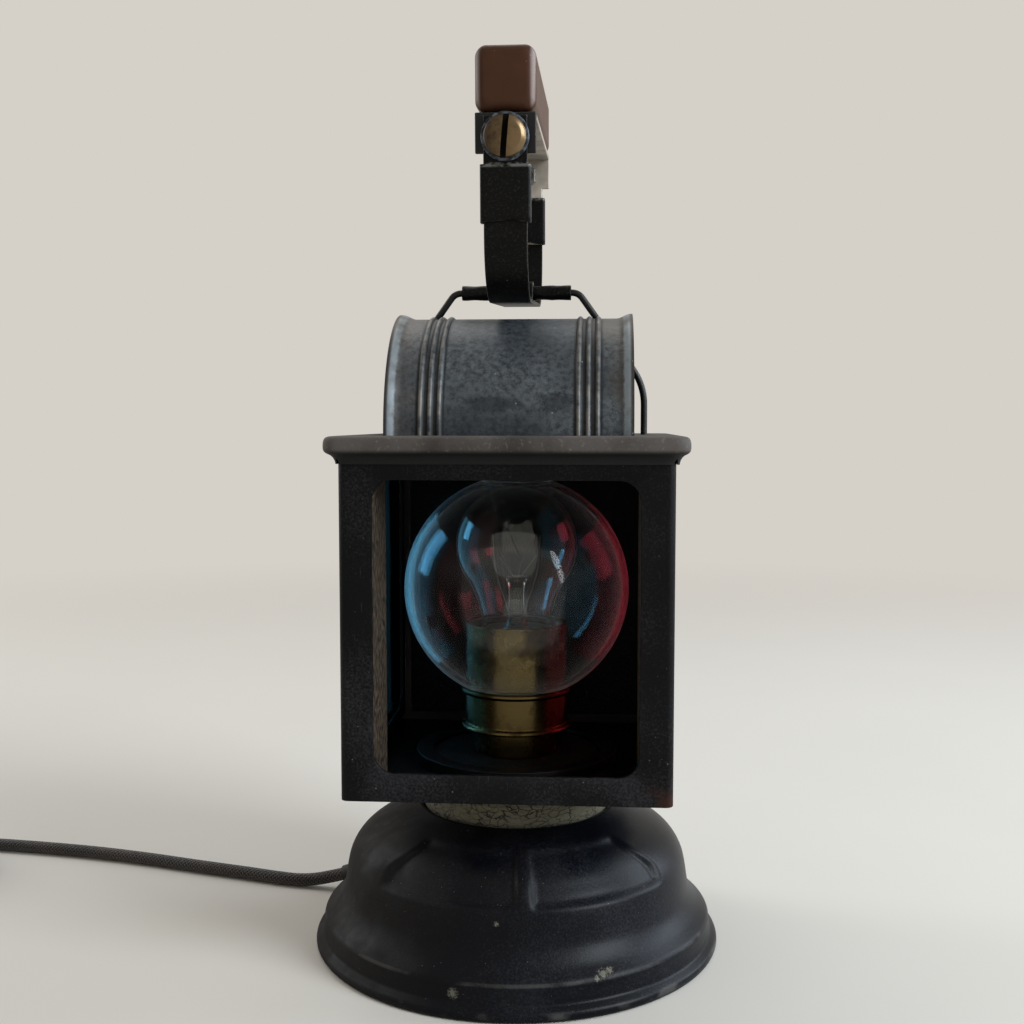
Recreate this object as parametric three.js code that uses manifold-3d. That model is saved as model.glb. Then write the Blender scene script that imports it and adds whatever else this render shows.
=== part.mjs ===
// A square railway hand lantern that was turned into a mains lamp: a stepped round base, a sheet case
// with windows, a ventilated hood, a wire bail and a strap handle with a moulded grip.
// Millimetres, +Z up, front towards -Y, origin on the floor under the centre of the base.
import * as THREE from 'three';
import { mergeVertices } from 'three/addons/utils/BufferGeometryUtils.js';
import { RoundedBoxGeometry } from 'three/addons/geometries/RoundedBoxGeometry.js';
import Module from 'manifold-3d';

const wasm = await Module();
wasm.setup();

// Clearance between two pieces that touch, how far a cut runs past its faces, and sheet gauges
const gap = 0.3;
const over = 2;
const sheet = 1.5;
const trim = 1.2;

// Base: a former oil reservoir, pressed from sheet
const baseRadius = 73;
const baseHeight = 50;
const baseWall = 1.8;
const baseColumns = 48;
const lipWidth = 2;
const lipDepth = 3.4;
const rimFoot = 5.6;
const ledgeWidth = 2;
const plateGauge = 1.5;
const panelDepth = 1;
const ribAzimuth = 6.5;

// Neck collar with its bayonet lugs
const collarRadius = 33.5;
const collarWall = 2.2;
const collarFlange = 3.7;
const webThickness = 2;
const lugReach = 2.5;
const lugWidth = 6.8;
const lugHeight = 1.8;
const bayonetTurn = 30;

// Lamp holder and its fixings
const nippleRadius = 5;
const nippleBore = 3.5;
const nippleLength = 19.5;
const nutRadius = 9;
const nutHeight = 3.5;
const pedestalRadius = 15;
const pedestalHeight = 9;
const holderRadius = 18.6;
const holderWall = 0.9;
const holderHeight = 38.3;
const cupHeight = 15;
const cupFloor = 2;
const insulatorHeight = 6;
const shellRadius = 14.6;
const shellWall = 1;
const shellHeight = 27;
const topRingHeight = 5;
const contactRadius = 4;

// Clear glass globe round the bulb
const globeHeadroom = 14.64;
const globeWall = 2.1;
const globeTopMouth = 12;
const seatRingWidth = 3.1;
const seatRingHeight = 2;

// Bulb
const bulbRadiusShare = 0.4105;
const bulbWall = 0.8;
const bulbDrop = 3.36;
const bulbNeck = 12.2;
const capRadius = 13.2;
const capWall = 0.6;
const capHeight = 23.4;
const wireRadius = 0.5;
const stemDrop = 11.3;

// Case
const caseHalf = 54;
const caseBottom = 64.1;
const caseHeight = 112.2;
const caseCorner = 2.5;
const floorHole = 30;
const caseStile = 11;
const windowSill = 9.4;
const windowHead = 7.4;
const windowCorner = 7;
const guideFlange = 3.3;
const paneThickness = 2;
const paneMargin = 4.5;
const doorwayStile = 7.5;
const doorwayMargin = 5;

// Lid and hood
const lidOverhang = 4.5;
const lidHeight = 9;
const lidRise = 6.7;
const lidCorner = 5;
const lidSeatWidth = 2;
const hoodRadius = 41;
const hoodClearance = 4.5;
const hoodWall = 1.2;
const ribInset = 15;
const ribPitch = 3.15;
const ribWidth = 1.6;
const ribHeight = 0.8;
const flareHeight = 1.3;
const flareLength = 5.5;
const ventHalfX = 21;
const ventHalfY = 28;
const baffleHole = 4;
const baffleMargin = 2.5;
const holePitch = 12.5;

// Bail and its sleeve
const bailRadius = 1.5;
const bailInset = 8.5;
const bailKnee = 24.2;
const bailRise = 57.2;
const shoulderInset = 4;
const ferruleRadius = 2.7;
const ferruleInset = 2.6;
const bailNutHeight = 2.6;
const kneeBend = 7;
const shoulderBend = 2.4;

// Door and hinge at the back
const pinRadius = 1.2;
const hingeMargin = 11.1;
const hingeMiddleShare = 0.46;
const leafLength = 13;
const knobRadius = 6;
const knobLength = 12;
const knobInset = 14.5;

// Handle: strap, sleeves, frame and grip, leaning a little to the front
const handleLean = 4;
const strapHalfSpan = 50.6;
const strapWidth = 13.8;
const strapBend = 20;
const strapTop = 52.9;
const sleeveWidth = 16;
const sleeveWall = 0.7;
const sleeveBottom = 20;
const sleeveHeight = 18;
const frameGauge = 1.6;
const frameWidth = 19.2;
const frameTop = 54;
const tangHeight = 12.5;
const screwHeight = 46.3;
const screwHeadRadius = 7;
const screwHeadHeight = 2.5;
const screwShank = 3;
const slotWidth = 1.6;
const washerRadius = 8;
const washerGauge = 0.8;
const screwNut = 5;
const gripHeight = 19.7;
const gripHalfLength = 50;
const gripCorner = 4;
const saddleGauge = 1;
const saddleWidth = 12;
const saddleFoot = 6;

// Mains cord, boot and plug
const cordRadius = 2.5;
const cordLength = 1800;
const exitAzimuth = 152;
const exitHeading = 168;
const exitSlope = 18;
const exitHeight = 10;
const exitInset = 3.7;
const bootRadius = 4;
const bootTip = 3.2;
const bootBead = 4.6;
const bootInside = 12.5;
const bootBeadLength = 3;
const bootOutside = 11;
const floorLift = 0.1;
const coilPitch = 5.6;
const coilLayers = 4;
const coilTurns = 9.25;
const coilX = -270;
const coilEntryY = 71.5;
const tailRun = 34;
const plugRadius = 13;
const plugLength = 38;
const plugPinRadius = 2.2;
const plugPinLength = 19;
const plugPinSpacing = 19;

const degree = Math.PI / 180;
const finish = (color, roughness, metalness) => (
  new THREE.MeshStandardMaterial({ color, roughness, metalness }));
const glassFinish = (color) => (
  new THREE.MeshStandardMaterial({ color, roughness: 0.05, transparent: true, opacity: 0.35 }));
const blackPaint = finish(0x16161a, 0.4, 0.3);
const casePaint = finish(0x1b1d22, 0.7, 0.3);
const lidPaint = finish(0x4b3e37, 0.8, 0.2);
const hoodMetal = finish(0x5b646b, 0.45, 0.7);
const collarPaint = finish(0xb9b4a6, 0.7, 0.1);
const brass = finish(0x96783c, 0.35, 1);
const steel = finish(0x8d8d8a, 0.4, 1);
const blackSteel = finish(0x121214, 0.5, 0.4);
const porcelain = finish(0xd8d4c8, 0.3, 0);
const darkRing = finish(0x2a1413, 0.4, 0);
const bakelite = finish(0x4b322d, 0.35, 0);
const rubber = finish(0x17130f, 0.8, 0);
const textile = finish(0x241a14, 0.9, 0);
const clearGlass = glassFinish(0xe8f0f0);
const blueGlass = glassFinish(0x1d5b78);
const redGlass = glassFinish(0x8a1a1c);

// Welds a geometry to one closed body with its faces pointing out
function closed(geometry) {
  const loose = geometry.index ? geometry.toNonIndexed() : geometry.clone();
  loose.deleteAttribute('normal');
  loose.deleteAttribute('uv');
  const welded = mergeVertices(loose);
  const corners = welded.index.array;
  const spots = welded.attributes.position;
  const faces = [];
  const [a, b, c] = [new THREE.Vector3(), new THREE.Vector3(), new THREE.Vector3()];
  let volume = 0;
  for (let i = 0; i < corners.length; i += 3) {
    const face = [corners[i], corners[i + 1], corners[i + 2]];
    if (new Set(face).size < 3) continue;
    faces.push(face);
    a.fromBufferAttribute(spots, face[0]);
    b.fromBufferAttribute(spots, face[1]);
    c.fromBufferAttribute(spots, face[2]);
    volume += a.dot(b.cross(c));
  }
  welded.setIndex((volume < 0 ? faces.map((face) => face.reverse()) : faces).flat());
  return welded;
}

function toSolid(geometry) {
  const body = closed(geometry);
  return new wasm.Manifold(new wasm.Mesh({
    numProp: 3,
    vertProperties: Float32Array.from(body.attributes.position.array),
    triVerts: Uint32Array.from(body.index.array),
  }));
}

function fromSolid(solid) {
  const mesh = solid.getMesh();
  const geometry = new THREE.BufferGeometry();
  const spots = Float32Array.from(mesh.vertProperties);
  geometry.setAttribute('position', new THREE.BufferAttribute(spots, 3));
  geometry.setIndex(Array.from(mesh.triVerts));
  return geometry;
}

function cut(geometry, tools) {
  return fromSolid(tools.reduce((solid, tool) => solid.subtract(toSolid(tool)), toSolid(geometry)));
}

function join(geometries) {
  const [first, ...others] = geometries.map(toSolid);
  return fromSolid(others.reduce((solid, other) => solid.add(other), first));
}

// Turns an outline of [radius, height] points about Z; an outline off the axis is a closed loop.
// The first column faces the front, and azimuths run from there towards +X.
function turned(outline, sides, startAzimuth = 0, press = null) {
  const points = outline.map(([radius, height]) => new THREE.Vector2(radius, height));
  if (outline[0][0] > 0) points.push(points[0].clone());
  const start = startAzimuth * degree;
  const geometry = new THREE.LatheGeometry(points, sides, start);
  if (press) press(geometry.attributes.position, points.length);
  return geometry.rotateX(Math.PI / 2);
}

// A turned piece whose axis runs along X
const turnedX = (outline, sides) => turned(outline, sides).rotateY(Math.PI / 2);

// A turned piece whose axis runs along Y, with its heights counted towards +Y
const turnedY = (outline, sides) => turned(outline, sides).rotateX(-Math.PI / 2);

const rod = (radius, low, high, sides) => (
  turned([[0, low], [radius, low], [radius, high], [0, high]], sides));

// The vertex radius of a polygon drawn round a circle, for a bore that a turning piece must clear
const around = (radius, sides) => radius / Math.cos(Math.PI / sides);

const pipe = (bore, radius, low, high, sides) => (
  turned([[bore, low], [radius, low], [radius, high], [bore, high]], sides));

// A hexagon nut on Z, whose bore clears a shank of the given radius
function hexNut(bore, radius, low, high) {
  return cut(rod(radius, low, high, 6), [rod(bore, low - over, high + over, 16)]);
}

function block(x, y, z) {
  const geometry = new THREE.BoxGeometry(x[1] - x[0], y[1] - y[0], z[1] - z[0]);
  return geometry.translate((x[0] + x[1]) / 2, (y[0] + y[1]) / 2, (z[0] + z[1]) / 2);
}

function polygon(points) {
  return new THREE.Shape(points.map(([x, y]) => new THREE.Vector2(x, y)));
}

function roundedRect(halfWidth, halfHeight, radius) {
  const shape = new THREE.Shape();
  shape.absarc(halfWidth - radius, halfHeight - radius, radius, 0, Math.PI / 2);
  shape.absarc(radius - halfWidth, halfHeight - radius, radius, Math.PI / 2, Math.PI);
  shape.absarc(radius - halfWidth, radius - halfHeight, radius, Math.PI, 1.5 * Math.PI);
  shape.absarc(halfWidth - radius, radius - halfHeight, radius, 1.5 * Math.PI, 2 * Math.PI);
  return shape;
}

const cornerSteps = 4;

// Prisms of a shape drawn in the plane across Z, Y or X, between two heights on that axis
const prismZ = (shape, low, high) => (
  new THREE.ExtrudeGeometry(shape, { depth: high - low, bevelEnabled: false, curveSegments: cornerSteps })
    .translate(0, 0, low));
const prismY = (shape, low, high) => prismZ(shape, -high, -low).rotateX(Math.PI / 2);
const prismX = (shape, low, high) => (
  prismZ(shape, low, high).applyMatrix4(new THREE.Matrix4().makeBasis(
    new THREE.Vector3(0, 1, 0), new THREE.Vector3(0, 0, 1), new THREE.Vector3(1, 0, 0))));

// A round bar or cord along a curve
function tube(curve, radius, sides, steps) {
  const turns = [...Array(sides).keys()].map((i) => 2 * Math.PI * i / sides);
  const section = polygon(turns.map((turn) => [radius * Math.cos(turn), radius * Math.sin(turn)]));
  return new THREE.ExtrudeGeometry(section, { steps, extrudePath: curve, bevelEnabled: false });
}

// Straight runs between points, with a rounded corner at each inner point
function bentPath(points, bend) {
  const path = new THREE.CurvePath();
  let from = points[0];
  for (let i = 1; i < points.length - 1; i += 1) {
    const before = points[i].clone().sub(points[i - 1]).setLength(bend[i - 1]);
    const after = points[i + 1].clone().sub(points[i]).setLength(bend[i - 1]);
    const start = points[i].clone().sub(before);
    const end = points[i].clone().add(after);
    path.add(new THREE.LineCurve3(from, start));
    path.add(new THREE.QuadraticBezierCurve3(start, points[i], end));
    from = end;
  }
  path.add(new THREE.LineCurve3(from, points[points.length - 1]));
  return path;
}

// Moves each point of an outline to its inner side by the wall's thickness
function inset(outline, wall) {
  return outline.map(([radius, height], i) => {
    const before = outline[Math.max(i - 1, 0)];
    const after = outline[Math.min(i + 1, outline.length - 1)];
    const run = new THREE.Vector2(after[0] - before[0], after[1] - before[1]).normalize();
    return [Math.max(radius - wall * run.y, 0), height + wall * run.x];
  });
}

const lantern = new THREE.Group();
lantern.name = 'railroad_lantern';
const base = new THREE.Group();
const bulb = new THREE.Group();
const lampCase = new THREE.Group();
const door = new THREE.Group();
const handle = new THREE.Group();
lantern.add(base);
base.add(bulb, lampCase);
lampCase.add(door, handle);

function part(group, name, geometry, material) {
  const mesh = new THREE.Mesh(closed(geometry), material);
  mesh.name = name;
  group.add(mesh);
  return mesh;
}

// Base shell: rim bead, step, cove and a domed shoulder with two shallow panels pressed in on each
// side of a narrow rib, at the front and again at the back
const baseOutlineShares = [
  [0.973, 0], [1, 0.04], [0.973, 0.08], [0.934, 0.11], [0.907, 0.18], [0.883, 0.25], [0.813, 0.31],
  [0.747, 0.37], [0.712, 0.41], [0.696, 0.48], [0.673, 0.62], [0.652, 0.66], [0.62, 0.71],
  [0.56, 0.77], [0.439, 0.84], [0.252, 0.91], [0.066, 0.97],
];
const panelRowShares = [0.65, 0.86];
const panelColumns = 7;
const lipRadius = collarRadius + lipWidth;
const baseOutline = baseOutlineShares.map(([r, z]) => (
  [lipRadius + r * (baseRadius - lipRadius), z * baseHeight]));
const lipHole = collarRadius + gap;
const lipUnder = baseHeight - lipDepth;
const wallStartShare = 0.2;
const baseInner = inset(baseOutline, baseWall)
  .filter(([, height], i) => i % 2 && height > wallStartShare * baseHeight && height < lipUnder - gap);

function pressPanels(spots, rows) {
  const [panelLow, panelHigh] = panelRowShares.map((share) => share * baseHeight);
  const pressed = baseOutline.map(([, z]) => z > panelLow && z < panelHigh);
  for (let i = 0; i < spots.count; i += 1) {
    const column = Math.floor(i / rows);
    const fromRib = Math.abs((column + baseColumns / 4) % (baseColumns / 2) - baseColumns / 4);
    if (pressed[i % rows] && fromRib > 0 && fromRib < panelColumns) {
      const shrink = 1 - panelDepth / Math.hypot(spots.getX(i), spots.getZ(i));
      spots.setX(i, spots.getX(i) * shrink);
      spots.setZ(i, spots.getZ(i) * shrink);
    }
  }
}

const ledgeRadius = baseRadius - rimFoot;
const plateRadius = ledgeRadius + ledgeWidth;
const baseBody = turned([
  ...baseOutline,
  [lipRadius, baseHeight], [lipHole, baseHeight], [lipHole, lipUnder],
  [collarRadius + collarFlange + gap, lipUnder],
  ...baseInner.reverse(),
  [ledgeRadius, plateGauge + gap], [plateRadius + gap, plateGauge + gap], [plateRadius + gap, 0],
], baseColumns, ribAzimuth, pressPanels);

// Where the cord leaves: its axis starts on the wall of the rim's step and slopes down outwards
const exitRadius = baseRadius - exitInset;
const exitPoint = new THREE.Vector3(
  exitRadius * Math.cos(exitAzimuth * degree), exitRadius * Math.sin(exitAzimuth * degree), exitHeight);
const exitDirection = new THREE.Vector3(
  Math.cos(exitHeading * degree) * Math.cos(exitSlope * degree),
  Math.sin(exitHeading * degree) * Math.cos(exitSlope * degree),
  -Math.sin(exitSlope * degree));
const alongExit = (geometry) => (
  geometry
    .applyQuaternion(new THREE.Quaternion().setFromUnitVectors(new THREE.Vector3(0, 0, 1), exitDirection))
    .translate(exitPoint.x, exitPoint.y, exitPoint.z));
part(base, 'base_shell', cut(baseBody, [
  alongExit(rod(bootRadius + gap, -bootInside, bootOutside, 16)),
]), blackPaint);
part(base, 'base_bottom_plate', rod(plateRadius, 0, plateGauge, baseColumns), blackPaint);

// Neck collar: a flanged tube in the base's lip, with a spigot through the case floor, a web that
// carries the lamp holder, and two bayonet lugs
const collarSides = 24;
const collarBore = around(floorHole, collarSides);
const floorTop = caseBottom + sheet;
const spigotRadius = floorHole - gap;
const webTop = floorTop + webThickness + 2 * gap;
const shoulder = caseBottom - gap;
const nippleHole = nippleRadius + gap;
const collarFoot = lipUnder - gap - sheet;
const lugLow = floorTop + gap;
const lugOuter = spigotRadius + lugReach;
const lugs = [0, Math.PI].map((turn) => (
  block([spigotRadius - collarWall / 2, lugOuter], [-lugWidth / 2, lugWidth / 2],
    [lugLow, lugLow + lugHeight]).rotateZ(turn)));
const collarBody = turned([
  [collarRadius + collarFlange, collarFoot], [collarRadius + collarFlange, lipUnder - gap],
  [collarRadius, lipUnder - gap], [collarRadius, shoulder], [spigotRadius, shoulder],
  [spigotRadius, webTop], [nippleHole, webTop], [nippleHole, webTop - webThickness],
  [spigotRadius - collarWall, webTop - webThickness], [spigotRadius - collarWall, shoulder - collarWall],
  [collarRadius - collarWall, shoulder - collarWall], [collarRadius - collarWall, collarFoot],
], collarSides);
part(base, 'neck_collar', join([collarBody, ...lugs]), collarPaint);

// Lamp holder on its pedestal, drawn together by the threaded nipple
const cupBottom = webTop + pedestalHeight;
const cupTop = cupBottom + cupHeight;
const holderTop = cupBottom + holderHeight;
const holderBore = holderRadius - holderWall;
const cupFlange = holderRadius + holderWall;
part(base, 'holder_pedestal', turned([
  [pedestalRadius - sheet, webTop], [pedestalRadius, webTop], [pedestalRadius, cupBottom],
  [nippleHole, cupBottom], [nippleHole, cupBottom - sheet], [pedestalRadius - sheet, cupBottom - sheet],
], 24), brass);
const nippleBottom = webTop - webThickness - nutHeight - sheet;
const nippleTop = nippleBottom + nippleLength;
part(base, 'threaded_nipple', pipe(nippleBore, nippleRadius, nippleBottom, nippleTop, 12), steel);
const webUnder = webTop - webThickness;
part(base, 'nipple_nut', hexNut(nippleHole, nutRadius, webUnder - nutHeight, webUnder), steel);
part(base, 'holder_cup', turned([
  [nippleHole, cupBottom], [cupFlange, cupBottom], [cupFlange, cupBottom + trim],
  [holderRadius, cupBottom + trim + holderWall], [holderRadius, cupTop], [holderBore, cupTop],
  [holderBore, cupBottom + cupFloor], [nippleHole, cupBottom + cupFloor],
], 24), brass);
part(base, 'holder_sleeve', turned([
  [holderBore, cupTop], [holderRadius, cupTop], [holderRadius, holderTop - holderWall],
  [holderRadius - holderWall / 2, holderTop], [holderBore, holderTop],
], 24), brass);
const insulatorBottom = cupBottom + cupFloor;
const insulatorTop = insulatorBottom + insulatorHeight;
const recessTop = insulatorBottom + insulatorHeight / 2;
part(base, 'holder_insulator', turned([
  [0, recessTop], [nippleHole + gap, recessTop], [nippleHole + gap, insulatorBottom],
  [holderBore - gap, insulatorBottom], [holderBore - gap, insulatorTop], [0, insulatorTop],
], 20), porcelain);
part(base, 'centre_contact', rod(contactRadius, insulatorTop, insulatorTop + sheet, 12), brass);
const shellTop = insulatorTop + shellHeight;
part(base, 'screw_shell', pipe(shellRadius - shellWall, shellRadius, insulatorTop, shellTop, 24), brass);
const topRingTop = holderTop - holderWall;
part(base, 'holder_ring', pipe(
  shellRadius + gap, holderBore - gap, topRingTop - topRingHeight, topRingTop, 24), darkRing);

// Globe: a hollow glass ball that stands on a ring round the holder and is open at the top. The room
// under the lid gives its height, and its height and lower mouth give its radius.
const seatTop = cupTop - gap;
const globeMouth = holderRadius + 2 * gap;
const lidTop = caseBottom + caseHeight + lidRise;
const globeHeight = lidTop - globeHeadroom - seatTop - gap;
const globeRadius = (globeHeight ** 2 + globeMouth ** 2) / (2 * globeHeight);
const globeCentre = seatTop + gap + globeHeight - globeRadius;
const globeArcSteps = 8;
function globeArc(radius) {
  const first = Math.asin(globeMouth / radius);
  const last = Math.PI - Math.asin(globeTopMouth / radius);
  return [...Array(globeArcSteps + 1).keys()].map((i) => {
    const angle = first + (last - first) * i / globeArcSteps;
    return [radius * Math.sin(angle), globeCentre - radius * Math.cos(angle)];
  });
}
part(base, 'globe_seat_ring', pipe(
  holderRadius + gap, holderRadius + gap + seatRingWidth, seatTop - seatRingHeight, seatTop, 24), brass);
part(base, 'glass_globe', turned(
  [...globeArc(globeRadius), ...globeArc(globeRadius - globeWall).reverse()], 24), clearGlass);

// Bulb: round envelope on a cone neck, screw cap, contact, and a mount that carries the filament
const contactTip = insulatorTop + sheet + gap;
const capBottom = contactTip + sheet + trim;
const capTop = contactTip + trim + sheet + capHeight;
const neckShares = [[1, 0], [1.01, 0.14], [1.07, 0.33], [1.25, 0.66]];
const bulbArcStart = 55;
const bulbArcSteps = 7;
const neckBottom = capTop - trim;
const bulbTop = globeCentre + globeRadius - bulbDrop;
const bulbRadius = bulbRadiusShare * (bulbTop - neckBottom);
const bulbCentre = bulbTop - bulbRadius;
const bulbArc = [...Array(bulbArcSteps + 1).keys()].map((i) => {
  const angle = (bulbArcStart + (180 - bulbArcStart) * i / bulbArcSteps) * degree;
  return [i < bulbArcSteps ? bulbRadius * Math.sin(angle) : 0, bulbCentre - bulbRadius * Math.cos(angle)];
});
const neckRun = bulbArc[0][1] - neckBottom;
const bulbOutline = [...neckShares.map(([r, z]) => [r * bulbNeck, neckBottom + z * neckRun]), ...bulbArc];
const envelope = turned([
  [0, bulbTop - bulbWall], ...inset(bulbOutline, bulbWall).slice(0, -1).reverse(), ...bulbOutline,
], 16);
part(bulb, 'bulb_envelope', envelope, clearGlass);
const capBore = capRadius - capWall;
const contactHole = contactRadius + 2 * gap;
part(bulb, 'bulb_cap', turned([
  [capBore, capTop], [capRadius, capTop], [capRadius, capBottom + cupFloor], [contactHole, capBottom],
  [contactHole, capBottom + capWall], [capBore, capBottom + cupFloor + capWall],
], 20), steel);
const contactTop = capBottom + capWall + gap;
const tipShare = 0.7;
part(bulb, 'bulb_contact', turned([
  [0, contactTip], [contactRadius * tipShare, contactTip], [contactRadius + gap, contactTip + trim],
  [contactRadius + gap, contactTop], [0, contactTop],
], 12), brass);
const stemBottom = contactTop + gap;
const stemTop = bulbCentre - stemDrop;
const stemShares = [
  [0, 0], [0.3, 0], [0.62, 0.05], [0.78, 0.12], [0.78, 0.4], [0.3, 0.62], [0.28, 1], [0, 1]];
part(bulb, 'bulb_stem', turned(
  stemShares.map(([r, z]) => [r * bulbNeck, stemBottom + z * (stemTop - stemBottom)]), 12), clearGlass);
const filamentShares = [
  [-0.1, 0], [-0.5, 0.62], [-0.42, 0.86], [-0.28, 0.55], [-0.14, 0.86], [0, 0.55],
  [0.14, 0.86], [0.28, 0.55], [0.42, 0.86], [0.5, 0.62], [0.1, 0],
];
const filamentFoot = stemTop + gap + wireRadius;
const filamentPath = new THREE.CatmullRomCurve3(filamentShares.map(([x, z]) => (
  new THREE.Vector3(x * bulbRadius, 0, filamentFoot + z * bulbRadius))), false, 'centripetal');
part(bulb, 'filament', tube(filamentPath, wireRadius, 5, 30), steel);

// Case: four walls and a floor in one wrap, with three glazed or open windows and the doorway
const caseTop = caseBottom + caseHeight;
const innerHalf = caseHalf - sheet;
const windowHalf = caseHalf - caseStile;
const windowBottom = caseBottom + windowSill;
const windowTop = caseTop - windowHead;
const windowMid = (windowBottom + windowTop) / 2;
const windowShape = roundedRect(windowHalf, (windowTop - windowBottom) / 2, windowCorner);
const doorwayHalf = caseHalf - doorwayStile;
const doorwayBottom = caseBottom + doorwayMargin;
const doorwayTop = caseTop - doorwayMargin;
const lugSlots = [0, Math.PI].map((turn) => (
  block([spigotRadius - over, lugOuter + gap], [-lugWidth / 2 - gap, lugWidth / 2 + gap],
    [caseBottom - over, floorTop + over]).rotateZ(turn - bayonetTurn * degree)));
const sideWindow = prismX(windowShape, innerHalf - over, caseHalf + over).translate(0, 0, windowMid);
part(lampCase, 'case_wrap', cut(
  prismZ(roundedRect(caseHalf, caseHalf, caseCorner), caseBottom, caseTop),
  [
    prismZ(roundedRect(innerHalf, innerHalf, caseCorner - sheet), floorTop, caseTop + over),
    prismY(windowShape, -caseHalf - over, -innerHalf + over).translate(0, 0, windowMid),
    sideWindow,
    sideWindow.clone().rotateZ(Math.PI),
    block([-doorwayHalf, doorwayHalf], [innerHalf - over, caseHalf + over], [doorwayBottom, doorwayTop]),
    rod(collarBore, caseBottom - over, floorTop + over, collarSides),
    ...lugSlots,
  ],
), casePaint);
const channelRadius = around(Math.hypot(lugOuter, lugWidth / 2) + gap, collarSides);
const channelTop = lugLow + lugHeight + gap;
part(lampCase, 'case_collar', turned([
  [channelRadius, floorTop], [channelRadius + lipDepth, floorTop],
  [channelRadius + lipDepth, channelTop + sheet], [collarBore, channelTop + sheet],
  [collarBore, channelTop], [channelRadius, channelTop],
], collarSides), casePaint);

// Angle strips inside the front window, which reach halfway back to the axis, and glazed side frames
for (const [side, sign] of [['left', -1], ['right', 1]]) {
  const front = -innerHalf;
  const back = -caseHalf / 2;
  const angleStrip = polygon([
    [windowHalf, front], [windowHalf + trim, front], [windowHalf + trim, back - trim],
    [windowHalf + trim + guideFlange, back - trim], [windowHalf + trim + guideFlange, back],
    [windowHalf, back],
  ].map(([x, y]) => [sign * x, y]));
  part(lampCase, `front_guide_${side}`, prismZ(angleStrip, floorTop, caseTop - gap), casePaint);
}
const paneOuter = innerHalf - gap;
const paneInner = paneOuter - paneThickness;
const frameInner = paneInner - gap - trim;
const frameHalfY = windowHalf + paneMargin + trim + gap;
const frameLow = windowBottom - paneMargin;
const frameHigh = windowTop + paneMargin - trim;
const paneHalfY = frameHalfY - trim - gap;
const paneLow = frameLow + trim + gap;
const paneHigh = frameHigh - trim - gap;
for (const [colour, sign, glass] of [['blue', -1, blueGlass], ['red', 1, redGlass]]) {
  const across = (low, high) => (sign > 0 ? [low, high] : [-high, -low]);
  part(lampCase, `${colour}_pane`,
    block(across(paneInner, paneOuter), [-paneHalfY, paneHalfY], [paneLow, paneHigh]), glass);
  const bar = block(across(frameInner, innerHalf), [-frameHalfY, frameHalfY], [frameLow, frameHigh]);
  const frame = cut(bar, [
    block(across(paneInner - gap, innerHalf + over),
      [-paneHalfY - gap, paneHalfY + gap], [paneLow - gap, paneHigh + gap]),
    block(across(frameInner - over, innerHalf), [-windowHalf, windowHalf], [windowBottom, windowTop]),
  ]);
  part(lampCase, `${colour}_pane_frame`, frame, casePaint);
}

// Lid: a pressed square cap with a coved skirt, round edges and a vent opening under the hood
const lidBottom = lidTop - lidHeight;
const lidHalf = caseHalf + lidOverhang;
const lidOutlineShares = [
  [0.234, 0], [0.331, 0.18], [0.61, 0.33], [0.916, 0.43], [1, 0.6], [1, 0.78], [0.791, 0.94], [0.401, 1],
];
function squareLoft(outline, corner) {
  const spots = [];
  const faces = [];
  const ringSize = 4 * (cornerSteps + 1);
  for (const [half, height] of outline) {
    for (let i = 0; i < ringSize; i += 1) {
      const quarter = Math.floor(i / (cornerSteps + 1));
      const turn = (quarter + (i % (cornerSteps + 1)) / cornerSteps) * Math.PI / 2;
      const [signX, signY] = [[1, 1], [-1, 1], [-1, -1], [1, -1]][quarter];
      spots.push(signX * (half - corner) + corner * Math.cos(turn));
      spots.push(signY * (half - corner) + corner * Math.sin(turn), height);
    }
  }
  for (let row = 0; row < outline.length - 1; row += 1) {
    for (let i = 0; i < ringSize; i += 1) {
      const next = (i + 1) % ringSize;
      const [a, b, c, d] = [row * ringSize + i, row * ringSize + next,
        (row + 1) * ringSize + next, (row + 1) * ringSize + i];
      faces.push(a, b, c, a, c, d);
    }
  }
  const last = (outline.length - 1) * ringSize;
  for (let i = 1; i < ringSize - 1; i += 1) faces.push(0, i + 1, i, last, last + i, last + i + 1);
  const geometry = new THREE.BufferGeometry();
  geometry.setAttribute('position', new THREE.Float32BufferAttribute(spots, 3));
  geometry.setIndex(faces);
  return geometry;
}
const pocketHalf = caseHalf + gap;
const crownHalf = innerHalf - lidSeatWidth;
const lidOutline = lidOutlineShares.map(([out, up]) => (
  [pocketHalf + out * (lidHalf - pocketHalf), lidBottom + up * lidHeight]));
const bailFoot = caseHalf - bailInset;
const bailFeet = [-bailFoot, bailFoot];
part(lampCase, 'lid', cut(
  squareLoft(lidOutline, lidCorner),
  [
    block([-pocketHalf, pocketHalf], [-pocketHalf, pocketHalf], [lidBottom - over, caseTop + gap]),
    block([-crownHalf, crownHalf], [-crownHalf, crownHalf], [lidBottom - over, lidTop - sheet]),
    prismZ(roundedRect(ventHalfX, ventHalfY, windowCorner), lidBottom, lidTop + over),
    ...bailFeet.map((x) => rod(bailRadius + gap, lidBottom, lidTop + over, 12).translate(x, 0, 0)),
  ],
), lidPaint);

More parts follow.
